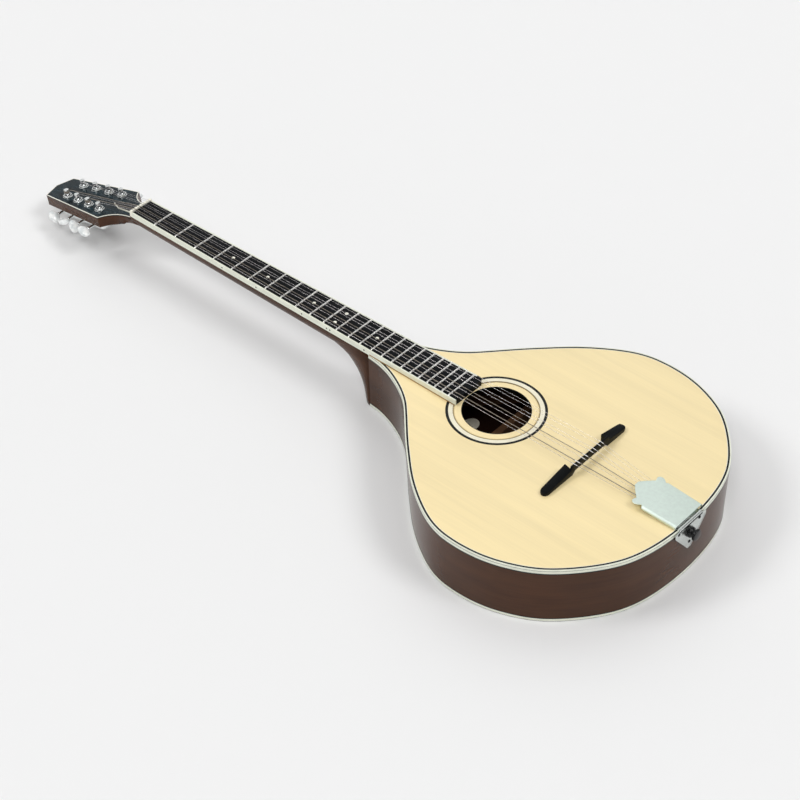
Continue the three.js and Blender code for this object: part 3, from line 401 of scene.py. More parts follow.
def sliced(node, name, finish, level, above, place, replaces=()):
    """The part of a node that lies above or below a level in the frame of the matrix."""
    bm = welded(node)
    cut = bmesh.ops.bisect_plane(bm, geom=bm.verts[:] + bm.edges[:] + bm.faces[:],
                                 plane_co=place @ Vector((0, 0, level)),
                                 plane_no=place.to_3x3() @ Vector((0, 0, 1)),
                                 clear_inner=above, clear_outer=not above)
    edges = [e for e in cut["geom_cut"] if isinstance(e, bmesh.types.BMEdge)]
    bmesh.ops.holes_fill(bm, edges=edges, sides=0)
    return add_piece(name, split_wide(bm), finish, replaces=replaces)


def lofted(sections, closed=False):
    """A closed skin over sections with the same number of points."""
    bm = bmesh.new()
    rows = [[bm.verts.new(p) for p in section] for section in sections]
    pairs = list(zip(rows, rows[1:] + rows[:1])) if closed else list(zip(rows, rows[1:]))
    for first, second in pairs:
        for i in range(len(first)):
            j = (i + 1) % len(first)
            bm.faces.new((first[i], first[j], second[j], second[i]))
    if not closed:
        bm.faces.new(rows[0])
        bm.faces.new(rows[-1][::-1])
    return bm


def turned(profile, sides, matrix):
    """A turned solid: (radius, height) profile from bottom to top, turned round the matrix's z."""
    sections = []
    for radius, height in profile:
        ring = [Vector((radius * math.cos(2 * math.pi * i / sides),
                        radius * math.sin(2 * math.pi * i / sides), height)) for i in range(sides)]
        sections.append([matrix @ p for p in ring])
    return lofted(sections)


def annulus(inner, outer, low, high, place, sides=96):
    """A flat ring with a rectangular section, round the z of the matrix."""
    sections = []
    for i in range(sides):
        c, s = math.cos(2 * math.pi * i / sides), math.sin(2 * math.pi * i / sides)
        sections.append([place @ Vector((c * radius, s * radius, z))
                         for radius, z in ((inner, low), (outer, low), (outer, high), (inner, high))])
    return lofted(sections, closed=True)


def rim(node, height, place=Matrix()):
    """A node's longest closed line of hard edges at a height in the frame of the matrix."""
    bm = welded(node)
    bm.transform(place.inverted())
    near = [e for e in bm.edges if all(abs(v.co.z - height) < 0.02 * MM for v in e.verts)
            and len(e.link_faces) == 2 and e.calc_face_angle(0) > math.radians(45)]
    beside = {}
    for edge in near:
        first, second = edge.verts
        beside.setdefault(first, []).append(second)
        beside.setdefault(second, []).append(first)
    lines = []
    while beside:
        line = [next(iter(beside))]
        while True:
            onward = [v for v in beside.pop(line[-1]) if v in beside]
            if not onward:
                break
            line.append(onward[0])
        lines.append([v.co.copy() for v in line])
    bm.free()
    return max(lines, key=lambda line: sum((a - b).length for a, b in zip(line, line[1:])))


# A line's end whose direction is at least this much along x runs straight across the body
ACROSS = 0.98


def inset(points, distance, closed=False, lean=None):
    """A flat line moved to its left by a distance, to which lean adds at each point.

    An open end stays on its level, unless the line there runs straight across the body.
    """
    moved = []
    count = len(points)
    for i, point in enumerate(points):
        before = points[i - 1] if closed or i else point
        after = points[(i + 1) % count] if closed or i < count - 1 else point
        into, out = (point - before).to_2d(), (after - point).to_2d()
        into = into.normalized() if into.length else out.normalized()
        out = out.normalized() if out.length else into
        mean = (into + out).normalized()
        further = distance + (lean(point) if lean else 0)
        reach = further / max(0.4, mean.dot(out))
        x, y = point.x - mean.y * reach, point.y + mean.x * reach
        if not closed and i in (0, count - 1) and abs(mean.x) < ACROSS:
            y = point.y
        moved.append(Vector((x, y, point.z)))
    return moved


def smoothed(points, steps=3):
    """A finer line through the same points, on Catmull-Rom curves."""
    fine = []
    for i in range(len(points) - 1):
        a, b = points[max(i - 1, 0)], points[i]
        c, d = points[i + 1], points[min(i + 2, len(points) - 1)]
        for k in range(steps):
            t = k / steps
            fine.append(0.5 * (2 * b + (c - a) * t + (2 * a - 5 * b + 4 * c - d) * t * t
                               + (3 * b - a - 3 * c + d) * t ** 3))
    return fine + [points[-1].copy()]


def strip(corners):
    """A band whose section has its corners on the given (line, height) pairs."""
    sections = []
    for i in range(len(corners[0][0])):
        sections.append([Vector((line[i].x, line[i].y, height)) for line, height in corners])
    return lofted(sections)


def prism(points, low, high, place=Matrix()):
    """A flat shape raised from low to high in the frame of the matrix."""
    sections = [[place @ Vector((p.x, p.y, z)) for p in points] for z in (low, high)]
    return split_wide(lofted(sections))


def tube(points, radius, sides):
    """A round tube along a line, with its sections carried along without twist."""
    tangents = []
    for i, point in enumerate(points):
        before, after = points[max(i - 1, 0)], points[min(i + 1, len(points) - 1)]
        tangents.append((after - before).normalized())
    side = tangents[0].orthogonal().normalized()
    sections = []
    for point, tangent in zip(points, tangents):
        side = (side - tangent * side.dot(tangent)).normalized()
        up = tangent.cross(side)
        sections.append([point + side * radius * math.cos(2 * math.pi * i / sides)
                         + up * radius * math.sin(2 * math.pi * i / sides) for i in range(sides)])
    return lofted(sections)


# Body

BACK_INSET = 2.55 * MM
BODY_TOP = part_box("soundboard")[1].z
TOP_BINDING_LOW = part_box("top_binding")[0].z
BACK_BINDING_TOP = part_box("back_binding")[1].z
BACK_BINDING_LOW = 0.9 * MM
# The back's rim is this much smaller all round than the top's, from the waist to the tail
RIM_LEAN = 2 * MM
WAIST_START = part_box("soundboard")[1].y - 30 * MM
WAIST_BLEND = 80 * MM
# How far inside the outline each band's outer and inner faces lie
SIDE_FACES = (0.18 * MM, 2.4 * MM)
TOP_BINDING_FACES = (0.1 * MM, 2.75 * MM)
BACK_BINDING_FACES = (0.1 * MM, 2.4 * MM)
LINE_FACES = (0.07 * MM, 1.2 * MM)
PURFLING_START = 1.4 * MM
WHITE_LINE = 0.5 * MM
# How deep the purflings reach, and how far they stand proud
PURFLING_DEPTH = 1 * MM
PROUD = 0.03 * MM
# Each black line on the rim: its low and high levels
RIM_LINES = {
    "binding_line": (BODY_TOP - 1.6 * MM, BODY_TOP - 1.25 * MM),
    "side_line_upper": (TOP_BINDING_LOW - 0.2 * MM, TOP_BINDING_LOW + 1.3 * MM),
    "side_line_lower": (BACK_BINDING_TOP - 1 * MM, BACK_BINDING_TOP),
}
INSIDE_WOOD = ("top_lining", "back_lining", "neck_block", "tail_block", "top_brace_upper",
               "top_brace_lower", "back_brace_upper", "back_brace_lower")


def body_line():
    """The body's outline, from the neck joint round the bass side and the tail and back."""
    line = rim("back_plate", 0)
    start = max(range(len(line)), key=lambda i: line[i].y - line[i].x * 0.01)
    line = line[start:] + line[:start]
    if line[1].x > line[-1].x:
        line = [line[0]] + line[:0:-1]
    return inset(smoothed(line), -BACK_INSET)


def build_body():
    body = bpy.context.scene.bouzouki_body
    line = body_line()
    half = len(line) // 2

    def rail(name, finish, slot, faces, low, high, replaces=(), span=slice(None)):
        """A band round the body between two distances from its outline and two levels."""
        points = line[span]
        corners = []
        for height, distances in ((low, faces), (high, faces[::-1])):
            def lean(point):
                along = min(1, max(0, (WAIST_START - point.y) / WAIST_BLEND))
                return RIM_LEAN * along * (1 - height / BODY_TOP)
            corners += [(inset(points, distance, lean=lean), height) for distance in distances]
        return add_piece(name, strip(corners), finish, replaces=replaces)

    white_start = PURFLING_START + body.purfling
    top, under = BODY_TOP + PROUD, BODY_TOP - PURFLING_DEPTH
    softened("soundboard", "soundboard_spruce", "spruce", edge=0.3 * MM)
    # The back, darkened as painted shade for the inside seen through the hole
    softened("back_plate", "back_mahogany", "mahogany_back_painted_shade", edge=0)
    rail("top_binding_rail", "binding", "binding", TOP_BINDING_FACES, TOP_BINDING_LOW,
         BODY_TOP + PROUD / 2, ("top_binding",))
    rail("purfling_black", "black_line", "ebonised_wood", (PURFLING_START, white_start), under, top)
    rail("purfling_white", "white_line", "binding", (white_start, white_start + WHITE_LINE), under, top)
    for name, span in (("bass", slice(0, half + 1)), ("treble", slice(half, None))):
        rail(f"side_{name}_mahogany", "mahogany_side", "mahogany", SIDE_FACES, BACK_BINDING_LOW,
             TOP_BINDING_LOW, (f"side_{name}",), span)
    for name, (low, high) in RIM_LINES.items():
        rail(name, "black_line", "ebonised_wood", LINE_FACES, low, high)
    rail("back_binding_rail", "binding", "binding", BACK_BINDING_FACES, BACK_BINDING_LOW,
         BACK_BINDING_TOP - 1 * MM, ("back_binding",))
    for node in INSIDE_WOOD:
        use_finish(node, "inner_wood")


# Each ring's name, finish, and inner and outer radius in millimetres
ROSETTE_RINGS = (("rosette_black", "black_line", 51.1, 54.15),
                 ("rosette_white", "holly", 46.4, 51.1),
                 ("rosette_brown", "brown_line", 45.6, 46.4))
HOLE_EDGE = ("sound_hole_edge", "black_line", 36.7, 37.4)
# The painted pool of light inside the body: its middle from the hole's and its half sizes, in
# millimetres, and its thickness
LIGHT_PATCH_MIDDLE = (25.5, 57.5)
LIGHT_PATCH_HALF = (11, 9)
LIGHT_PATCH_THICKNESS = 0.15 * MM


def build_rosette():
    low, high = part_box("rosette")
    centre = Vector(((low.x + high.x) / 2, (low.y + high.y) / 2, 0))
    top = BODY_TOP + 0.02 * MM
    levels = [low.z] * len(ROSETTE_RINGS) + [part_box("soundboard")[0].z]
    replaced = ("rosette",)
    for (name, finish, inner, outer), floor in zip((*ROSETTE_RINGS, HOLE_EDGE), levels):
        ring = annulus(inner * MM, outer * MM, floor, top, Matrix.Translation(centre))
        add_piece(name, ring, finish, replaces=replaced)
        replaced = ()
    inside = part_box("back_plate")[1].z
    (x, y), (wide, deep) = LIGHT_PATCH_MIDDLE, LIGHT_PATCH_HALF
    oval = [centre + Vector(((x + wide * math.cos(math.pi * i / 24)) * MM,
                             (y + deep * math.sin(math.pi * i / 24)) * MM, 0)) for i in range(48)]
    # A pale oval of painted light on the back's inside, where light through the hole falls
    add_piece("inside_paper", prism(oval, inside, inside + LIGHT_PATCH_THICKNESS), "paper")


# Neck and fingerboard

NUT_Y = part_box("fingerboard")[1].y
BODY_JOIN = 380 * MM
BOARD_OVERHANG = 11 * MM
BOARD_TOP_AT_NUT = 79.1 * MM
BOARD_TOP_AT_LAST = 82.35 * MM
BOARD_LOW_AT_NUT = 72.9 * MM
BOARD_HALF_AT_NUT = 14.4 * MM
BOARD_HALF_AT_LAST = 21.2 * MM
BOARD_BINDING = 2 * MM
# The round of the board's treble end, and how far short of it the binding stops
BOARD_CORNER = 5 * MM
BOARD_STEP = 3 * MM
# The brown strip of painted shade where the board's binding meets the body: how far it stands out and
# rises
FOOT_PROUD, FOOT_SUNK, FOOT_HEIGHT = 0.12, -1, 1.5
# A fret's section, as millimetres along the board and above it
FRET_PROFILE = [(1.1, -0.4), (1.1, 0.1), (0.95, 0.5), (0.6, 0.85), (0.2, 1.0), (-0.2, 1.0),
                (-0.6, 0.85), (-0.95, 0.5), (-1.1, 0.1), (-1.1, -0.4)]
# The share of its height that a fret keeps at its bevelled ends
FRET_END_RISE = 0.45
# Each dot's fret, and its place across the board and from the nut, in millimetres
DOTS = [(5, 0, 152.3), (7, 0, 207.3), (10, 0, 279.2), (12, -9.5, 320), (12, 9.5, 320), (15, 0, 374)]
SIDE_DOT_RADIUS = 1.0 * MM
SIDE_DOT_OFFSET = 2.5


def fret_place(n):
    """A fret's distance from the nut."""
    return bpy.context.scene.bouzouki_neck.scale_length * (1 - 2 ** (-n / 12))


def board_top(d):
    """The board's upper level at a distance from the nut."""
    return BOARD_TOP_AT_NUT + (BOARD_TOP_AT_LAST - BOARD_TOP_AT_NUT) * d / fret_place(24)


def board_low(d):
    """The board's lower level, where it meets the neck or the body."""
    return BOARD_LOW_AT_NUT + (BODY_TOP - BOARD_LOW_AT_NUT) * min(d / BODY_JOIN, 1)


def board_half(d):
    """Half the board's width, without its bindings."""
    return BOARD_HALF_AT_NUT + (BOARD_HALF_AT_LAST - BOARD_HALF_AT_NUT) * d / fret_place(24)


def board_shape(points):
    """A solid with the given plan, as (x, distance from the nut), and the board's own heights."""
    sections = [[Vector((x, NUT_Y - d, level(d))) for x, d in points]
                for level in (board_low, board_top)]
    return split_wide(lofted(sections))


def disc(name, centre, axis, radius, finish, depth=0.6 * MM, proud=0.03 * MM):
    """An inlaid round dot that stands very slightly proud."""
    place = Matrix.Translation(centre) @ axis.to_track_quat("Z", "Y").to_matrix().to_4x4()
    add_piece(name, turned([(radius, -depth), (radius, proud)], 20, place), finish)


def build_board():
    """The fingerboard, its two bindings and the brown strips at their feet."""
    end = fret_place(24) + BOARD_OVERHANG
    step = end - BOARD_CORNER - BOARD_STEP
    wide = board_half(end) + BOARD_BINDING - 0.05 * MM
    corner = [(wide - BOARD_CORNER * (1 - math.sin(a)), end - BOARD_CORNER * (1 - math.cos(a)))
              for a in [math.pi / 2 * i / 8 for i in range(9)]]
    bass_edge = [(-board_half(d), d) for d in (0, BODY_JOIN, end)]
    treble_edge = [(board_half(d), d) for d in (step, BODY_JOIN, 0)]
    board = board_shape([*bass_edge, *corner, (wide, step), *treble_edge])
    add_piece("fingerboard_ebonised", board, "rosewood", replaces=("fingerboard",))
    for turn, name, last in ((-1, "bass", end), (1, "treble", step)):
        sides = [(turn * board_half(d), d) for d in (0, BODY_JOIN, last)]
        outer = [(turn * (board_half(d) + BOARD_BINDING), d) for d in (last, BODY_JOIN, 0)]
        add_piece(f"board_binding_{name}", board_shape(sides + outer), "binding",
                  replaces=(f"fingerboard_binding_{name}",))
        # A brown strip of painted shade along the binding's foot
        corners = ((FOOT_SUNK, 0), (FOOT_PROUD, 0), (FOOT_PROUD, FOOT_HEIGHT), (FOOT_SUNK, FOOT_HEIGHT))
        sections = [[Vector((turn * (board_half(d) + BOARD_BINDING + out * MM), NUT_Y - d,
                             BODY_TOP + up * MM)) for out, up in corners]
                    for d in (BODY_JOIN + 2 * MM, last - 0.5 * MM)]
        add_piece(f"board_foot_{name}", lofted(sections), "foot_shade")


def build_neck():
    neck = bpy.context.scene.bouzouki_neck
    softened("neck", "neck_mahogany", "mahogany", edge=0)
    use_finish("truss_rod", "steel")
    build_board()
    for n in range(1, neck.frets + 1):
        d = fret_place(n)
        half = board_half(d) - 0.1 * MM
        bevel = half - 0.5 * MM
        rows = [(-half, FRET_END_RISE), (-bevel, 1), (bevel, 1), (half, FRET_END_RISE)]
        sections = [[Vector((x, NUT_Y - d + a * MM, board_top(d) + (b * rise if b > 0 else b) * MM))
                     for a, b in FRET_PROFILE] for x, rise in rows]
        add_piece(f"fret_{n:02d}", lofted(sections), "fret")
    for i, (n, x, d) in enumerate(DOTS):
        centre = Vector((x * MM, NUT_Y - d * MM, board_top(d * MM)))
        disc(f"dot_{n}_{i}", centre, Vector((0, 0, 1)), neck.dot, "white_line")
    for i, (n, x, d) in enumerate(DOTS):
        d = (d + (SIDE_DOT_OFFSET if x > 0 else -SIDE_DOT_OFFSET if x < 0 else 0)) * MM
        centre = Vector((-board_half(d) - BOARD_BINDING, NUT_Y - d, (board_top(d) + board_low(d)) / 2))
        disc(f"side_dot_{n}_{i}", centre, Vector((-1, 0, 0)), SIDE_DOT_RADIUS, "black_line")
    softened("nut", "nut_bone", "bone", edge=0.35 * MM)


# Headstock

HEAD_TILT = math.radians(-12.8)
HEAD_FACE_DROP = 4.1 * MM
HEAD = Matrix.Translation((0, NUT_Y, BODY_TOP - HEAD_FACE_DROP)) @ Matrix.Rotation(HEAD_TILT, 4, "X")
# The level on the head's binding where its white line gives way to the dark one below
HEAD_BINDING_SPLIT = -0.4 * MM
# The height at which the rod cover's outline is read
ROD_COVER_TOP = 2 * MM
# Each ply's name, finish, step inwards and levels in millimetres; the first takes the node's place
ROD_COVER_PLIES = (("rod_cover_white_ply", "white_line", 0, 0, 1.2),
                   ("rod_cover_bevel_ply", "white_line", 0.5, 1.2, 1.5),
                   ("rod_cover_black_ply", "black_plastic", 1.1, 1.5, 2.0))


def build_headstock():
    # The head's face, its teal tint a painted sheen
    softened("headstock_veneer", "headstock_face", "black_lacquer", edge=0)
    sliced("headstock_binding", "head_binding_white", "white_line", HEAD_BINDING_SPLIT, True,
           HEAD, ("headstock_binding",))
    sliced("headstock_binding", "head_binding_dark", "black_line", HEAD_BINDING_SPLIT,
           False, HEAD)
    line = rim("truss_rod_cover", ROD_COVER_TOP, HEAD)
    turn = 1 if sum(a.x * b.y - b.x * a.y for a, b in zip(line, line[1:] + line[:1])) > 0 else -1
    replaced = ("truss_rod_cover",)
    for name, finish, inwards, low, high in ROD_COVER_PLIES:
        points = inset(line, turn * inwards * MM, closed=True)
        add_piece(name, prism(points, low * MM, high * MM, HEAD), finish,
                  replaces=replaced)
        replaced = ()


# Tuning machines

# A post's section, as radius and height in millimetres from the head's face
POST_PROFILE = [
    (2.6, -16.4), (2.6, 2.9), (2.3, 3.3), (2.3, 8.2), (2.75, 8.5), (3.05, 8.8), (3.1, 9.2), (3.0, 9.5),
    (2.5, 9.75), (1.2, 9.8),
]
# The dark ring of painted shade between post and bushing, where the post's hole lies in shadow: inner
# and outer radius, and levels
POST_SHADE_RING = (2.65 * MM, 3.9 * MM, 2.3 * MM, 2.63 * MM)
GEAR_RADIUS = 4.95 * MM
GEAR_ROOT_RADIUS = 4.15 * MM
GEAR_HALF_THICKNESS = 1.7 * MM
GEAR_TEETH = 16
# How far each button is turned at rest, in degrees, from the first tuner of its row to the last
REST_TURNS = {"bass": (55, 15, 95, 40), "treble": (60, 20, 80, 40)}
# Half a button's size across, through and along its shaft
KNOB_HALF = (8.2 * MM, 3.2 * MM, 6 * MM)
KNOB_ROWS, KNOB_SIDES = 18, 28
# The powers that round a button's two outlines and its section: above 2 fuller than an ellipse
KNOB_OUTLINES = (2.4, 2.8)
KNOB_SECTION = (0.85, 0.9)
# A button's shaft: its radius in millimetres at places from the button's inner end
SHAFT_RADIUS = 1.7
SHAFT_COLLAR = [(1.7, -2.2), (2.3, -1.8), (2.4, -0.4), (2.1, 0.6), (1.6, 2)]


def head_frame(joint):
    """The headstock's directions at a joint's own place."""
    return Matrix.Translation(JOINTS[joint]["pos_m"]) @ Matrix.Rotation(HEAD_TILT, 4, "X")


def knob(place, reach):
    """A flattened button with a fuller outer end and a waist where it meets its shaft."""
    across, thick, along = KNOB_HALF
    sections = []
    for i in range(KNOB_ROWS + 1):
        t = max(-0.995, min(0.995, -1 + 2 * i / KNOB_ROWS))
        wide = across * (1 - abs(t) ** KNOB_OUTLINES[0]) ** 0.5 * (1 if t > 0 else 1 - 0.1 * t * t)
        deep = thick * (1 - abs(t) ** KNOB_OUTLINES[1]) ** 0.5
        ring = []
        for k in range(KNOB_SIDES):
            angle = 2 * math.pi * k / KNOB_SIDES
            c, s = math.cos(angle), math.sin(angle)
            ring.append(place @ Vector((wide * math.copysign(abs(c) ** KNOB_SECTION[0], c),
                                        deep * math.copysign(abs(s) ** KNOB_SECTION[1], s),
                                        reach + along * t)))
        sections.append(ring)
    return lofted(sections)


def gear(place, middle):
    """A toothed wheel round the z of the matrix, with two corners to each tooth and each gap."""
    sections = []
    for z in (middle - GEAR_HALF_THICKNESS, middle + GEAR_HALF_THICKNESS):
        ring = []
        for i in range(GEAR_TEETH * 4):
            radius = GEAR_RADIUS if i % 4 < 2 else GEAR_ROOT_RADIUS
            angle = 2 * math.pi * i / (GEAR_TEETH * 4)
            ring.append(place @ Vector((radius * math.cos(angle), radius * math.sin(angle), z)))
        sections.append(ring)
    return split_wide(lofted(sections))


def build_tuners():
    for tuner in TUNERS:
        _, row, k = tuner.split("_")
        turn = -1 if row == "bass" else 1
        post_body, button_body = f"{tuner}_post", f"{tuner}_button"
        post, worm = head_frame(f"{tuner}_post_turn"), head_frame(f"{tuner}_button_turn")

        softened(f"{tuner}_housing", f"{tuner}_gearbox", "nickel", edge=0.3 * MM)
        capstan = turned([(r * MM, z * MM) for r, z in POST_PROFILE], 32, post)
        add_piece(f"{tuner}_capstan", capstan, "nickel", post_body, (post_body,))
        # A black ring of painted shade round the post, where its hole lies in shadow
        add_piece(f"{tuner}_washer", annulus(*POST_SHADE_RING, post, 32), "black_steel_and_shade")
        gear_level = (post.inverted() @ worm.translation).z
        add_piece(f"{tuner}_gear", gear(post, gear_level), "bronze_cast", post_body)
        axis = worm @ Matrix(((0, 0, turn, 0), (0, 1, 0, 0), (-turn, 0, 0, 0), (0, 0, 0, 1)))
        axis = axis @ Matrix.Rotation(math.radians(REST_TURNS[row][int(k) - 1]), 4, "Z")
        low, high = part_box(button_body)
        far = turn * ((high if turn > 0 else low).x - worm.translation.x)
        near = turn * ((low if turn > 0 else high).x - worm.translation.x)
        centre = far - KNOB_HALF[2]
        add_piece(f"{tuner}_knob", knob(axis, centre), "pearloid", button_body,
                  (button_body,))
        start = centre - KNOB_HALF[2]
        shaft = [(SHAFT_RADIUS * MM, near), *((r * MM, start + at * MM) for r, at in SHAFT_COLLAR)]
        add_piece(f"{tuner}_worm_shaft", turned(shaft, 24, axis), "nickel", button_body)


# Strings

# Each string's radius in millimetres, from the bass side
STRING_RADII = (0.19, 0.46, 0.16, 0.4, 0.17, 0.17, 0.13, 0.13)
# The white band of painted highlight round a string where it crosses the bridge, standing for its glint
# there: half its length, and its radii over the string's own and at least, in millimetres
GLINT_REACH = 3.2 * MM
GLINT_THICKNESS = 0.01
GLINT_LEAST_RADIUS = 0.36


def centre_line(node):
    """The line along the middle of a string's tube, from its hook to the end of its winding."""
    bm = bmesh.new()
    bm.from_mesh(frame["nodes"][node].data)
    bmesh.ops.remove_doubles(bm, verts=bm.verts, dist=WELD_DISTANCE)
    bm.verts.index_update()
    first = min(bm.verts, key=lambda v: v.co.y)
    ring = sorted(bm.verts, key=lambda v: (v.co - first.co).length)[:6]
    points, seen = [], set()
    while ring:
        seen.update(ring)
        points.append(sum((v.co for v in ring), Vector()) / len(ring))
        beside = {e.other_vert(v) for v in ring for e in v.link_edges} - seen
        # In a fixed order, so that the sums are the same each run
        ring = sorted(beside, key=lambda v: v.index)
    bm.free()
    return points


def build_strings():
    sides = bpy.context.scene.bouzouki_strings.sides
    bridge_y = sum(corner.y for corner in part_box("bridge")) / 2
    for i, radius in enumerate(STRING_RADII, 1):
        node = f"string_{i}"
        finish = "bronze" if i in WOUND_STRINGS else "steel"
        line = centre_line(node)
        add_piece(f"{node}_wire", tube(line, radius * MM, sides), finish, replaces=(node,))
        over = min(range(len(line)), key=lambda k: abs(line[k].y - bridge_y))
        ends = [line[over].lerp(line[k], GLINT_REACH / (line[k] - line[over]).length)
                for k in (over - 1, over + 1)]
        # A matt white band of painted highlight where the string glints over the black bridge
        painted_glint = max(radius + GLINT_THICKNESS, GLINT_LEAST_RADIUS) * MM
        band = tube([ends[0], line[over], ends[1]], painted_glint, sides)
        add_piece(f"{node}_thread", band, "painted_glint")


# Bridge


def build_bridge():
    softened("bridge", "bridge_blackened", "black_wood", edge=0.5 * MM)


# Tailpiece and strap button

# Each screw's x and z on the bracket's outer face, in millimetres
BRACKET_SCREWS = ((12, 72), (-22.3, 72.8), (-2.8, 49.4))
# A screw head's section, as radius and height in millimetres
SCREW_PROFILE = [(1.9, -0.5), (1.9, 0.15), (1.5, 0.5), (0.9, 0.7), (0.75, 0.7), (0.6, 0.3), (0.1, 0.3)]
# The middle and the half width of the bracket's bend over the body's edge
BEND_MIDDLE, BEND_HALF = -2.2 * MM, 18.8 * MM
# The bead's half oval, in millimetres: its middle from the bracket's face and the top, and half sizes
BEAD_MIDDLE, BEAD_HALF = (2.2, 1.1), (2.1, 1.6)
# The black strip of painted shade in the fold under the bead: its front and rear from the bracket's
# face, and its levels
FOLD_SHADE_FRONT, FOLD_SHADE_REAR = -0.08 * MM, 0.4 * MM
FOLD_SHADE_LEVELS = (BODY_TOP - 1.4 * MM, BODY_TOP + 0.7 * MM)
# The cap's rear edge, its height there and its tilt
TAIL_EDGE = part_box("top_binding")[0].y + 3.2 * MM
CAP_HEIGHT = 5.4 * MM
CAP_TILT = math.radians(3.1)
CAP = Matrix.Translation((0, TAIL_EDGE, BODY_TOP + CAP_HEIGHT)) @ Matrix.Rotation(CAP_TILT, 4, "X")
# Where the cap's long edges start and end, and how they fold: in at the top and down at the foot
CAP_EDGE, CAP_EDGE_END = 22.2 * MM, 42.5 * MM
FOLD_INWARDS, FOLD_LEVEL = 1.9 * MM, -2 * MM
CAP_TOP_LEVEL, CAP_UNDER_LEVEL = -0.1 * MM, -1.2 * MM


def fold_cap(bm):
    """Slopes the cap's long edges, from its flat top out and down to its skirts."""
    back = CAP.inverted()
    for vertex in bm.verts:
        x, y, z = back @ vertex.co
        if abs(x) > CAP_EDGE and y < CAP_EDGE_END:
            if z > CAP_TOP_LEVEL:
                vertex.co = CAP @ Vector((x - math.copysign(FOLD_INWARDS, x), y, z))
            elif z > CAP_UNDER_LEVEL:
                vertex.co = CAP @ Vector((x, y, FOLD_LEVEL))


def build_tailpiece():
    softened("tailpiece_base", "tailpiece_bracket", "nickel_plate", edge=0.2 * MM)
    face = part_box("tailpiece_base")[0].y
    for i, (x, z) in enumerate(BRACKET_SCREWS, 1):
        place = Matrix.Translation((x * MM, face, z * MM)) @ Matrix.Rotation(math.pi / 2, 4, "X")
        profile = [(r * MM, h * MM) for r, h in SCREW_PROFILE]
        add_piece(f"bracket_screw_{i}", turned(profile, 20, place), "black_steel_and_shade")
    (out, up), (deep, high) = BEAD_MIDDLE, BEAD_HALF
    bead = [[Vector((x, face + (out - deep * math.cos(math.pi * i / 14)) * MM,
                     BODY_TOP + (up + high * math.sin(math.pi * i / 14)) * MM)) for i in range(15)]
            for x in (BEND_MIDDLE - BEND_HALF, BEND_MIDDLE + BEND_HALF)]
    add_piece("bracket_bead", lofted(bead), "nickel_plate")
    # A black strip of painted shade in the fold under the bead
    gap = [Vector((BEND_MIDDLE + turn * BEND_HALF, face + y, 0))
           for turn, y in ((-1, FOLD_SHADE_FRONT), (1, FOLD_SHADE_FRONT), (1, FOLD_SHADE_REAR), (-1, FOLD_SHADE_REAR))]
    add_piece("bracket_gap", prism(gap, *FOLD_SHADE_LEVELS), "black_line")
    softened("tailpiece_cover", "tailpiece_cap", "nickel_satin", body="tailpiece_cover",
             reshape=fold_cap)
    softened("strap_button", "strap_button_turned", "black_plastic", edge=0.3 * MM)


# Floor, lamps and camera

CAMERA_PLACE = Vector((-1.34143, -1.3191909, 1.63552))
CAMERA_AZIMUTH = math.radians(-47.304)
CAMERA_ELEVATION = math.radians(41.697)
CAMERA_ROLL = math.radians(-1.417)
CAMERA_LENS = 99.577
# The room's light by the cosine of the angle from the pale wall behind the instrument
WALL_RISE = math.radians(41)
ROOM_LEVELS = ((0.0, 0.12), (0.68, 0.12), (0.9, 0.8), (1.0, 0.8))
# Each softbox: its turn to the right of straight ahead, its rise and its width, in degrees
LAMPS = {"left_lamp": (-92, 44, 20), "right_lamp": (119, 50, 22), "back_lamp": (-168, 56, 22),
         "overhead": (0, 90, 110)}
# The paper floor's radius and height in metres, from the flat middle up its curved rim
FLOOR_SIDES = 96
FLOOR_PROFILE = ((0.5, 0), (6, 0), (6.8, 0.1), (7.4, 0.4), (7.8, 0.9), (8, 1.6), (8, 2.6))


def swept_floor():
    """A round sheet of paper whose rim curves up out of sight."""
    bm = bmesh.new()
    rings = []
    for radius, height in FLOOR_PROFILE:
        turns = [2 * math.pi * i / FLOOR_SIDES for i in range(FLOOR_SIDES)]
        rings.append([bm.verts.new((radius * math.cos(a), radius * math.sin(a), height)) for a in turns])
    bm.faces.new(rings[0])
    for inner, outer in zip(rings, rings[1:]):
        for i in range(FLOOR_SIDES):
            j = (i + 1) % FLOOR_SIDES
            bm.faces.new((inner[i], outer[i], outer[j], inner[j]))
    return bm


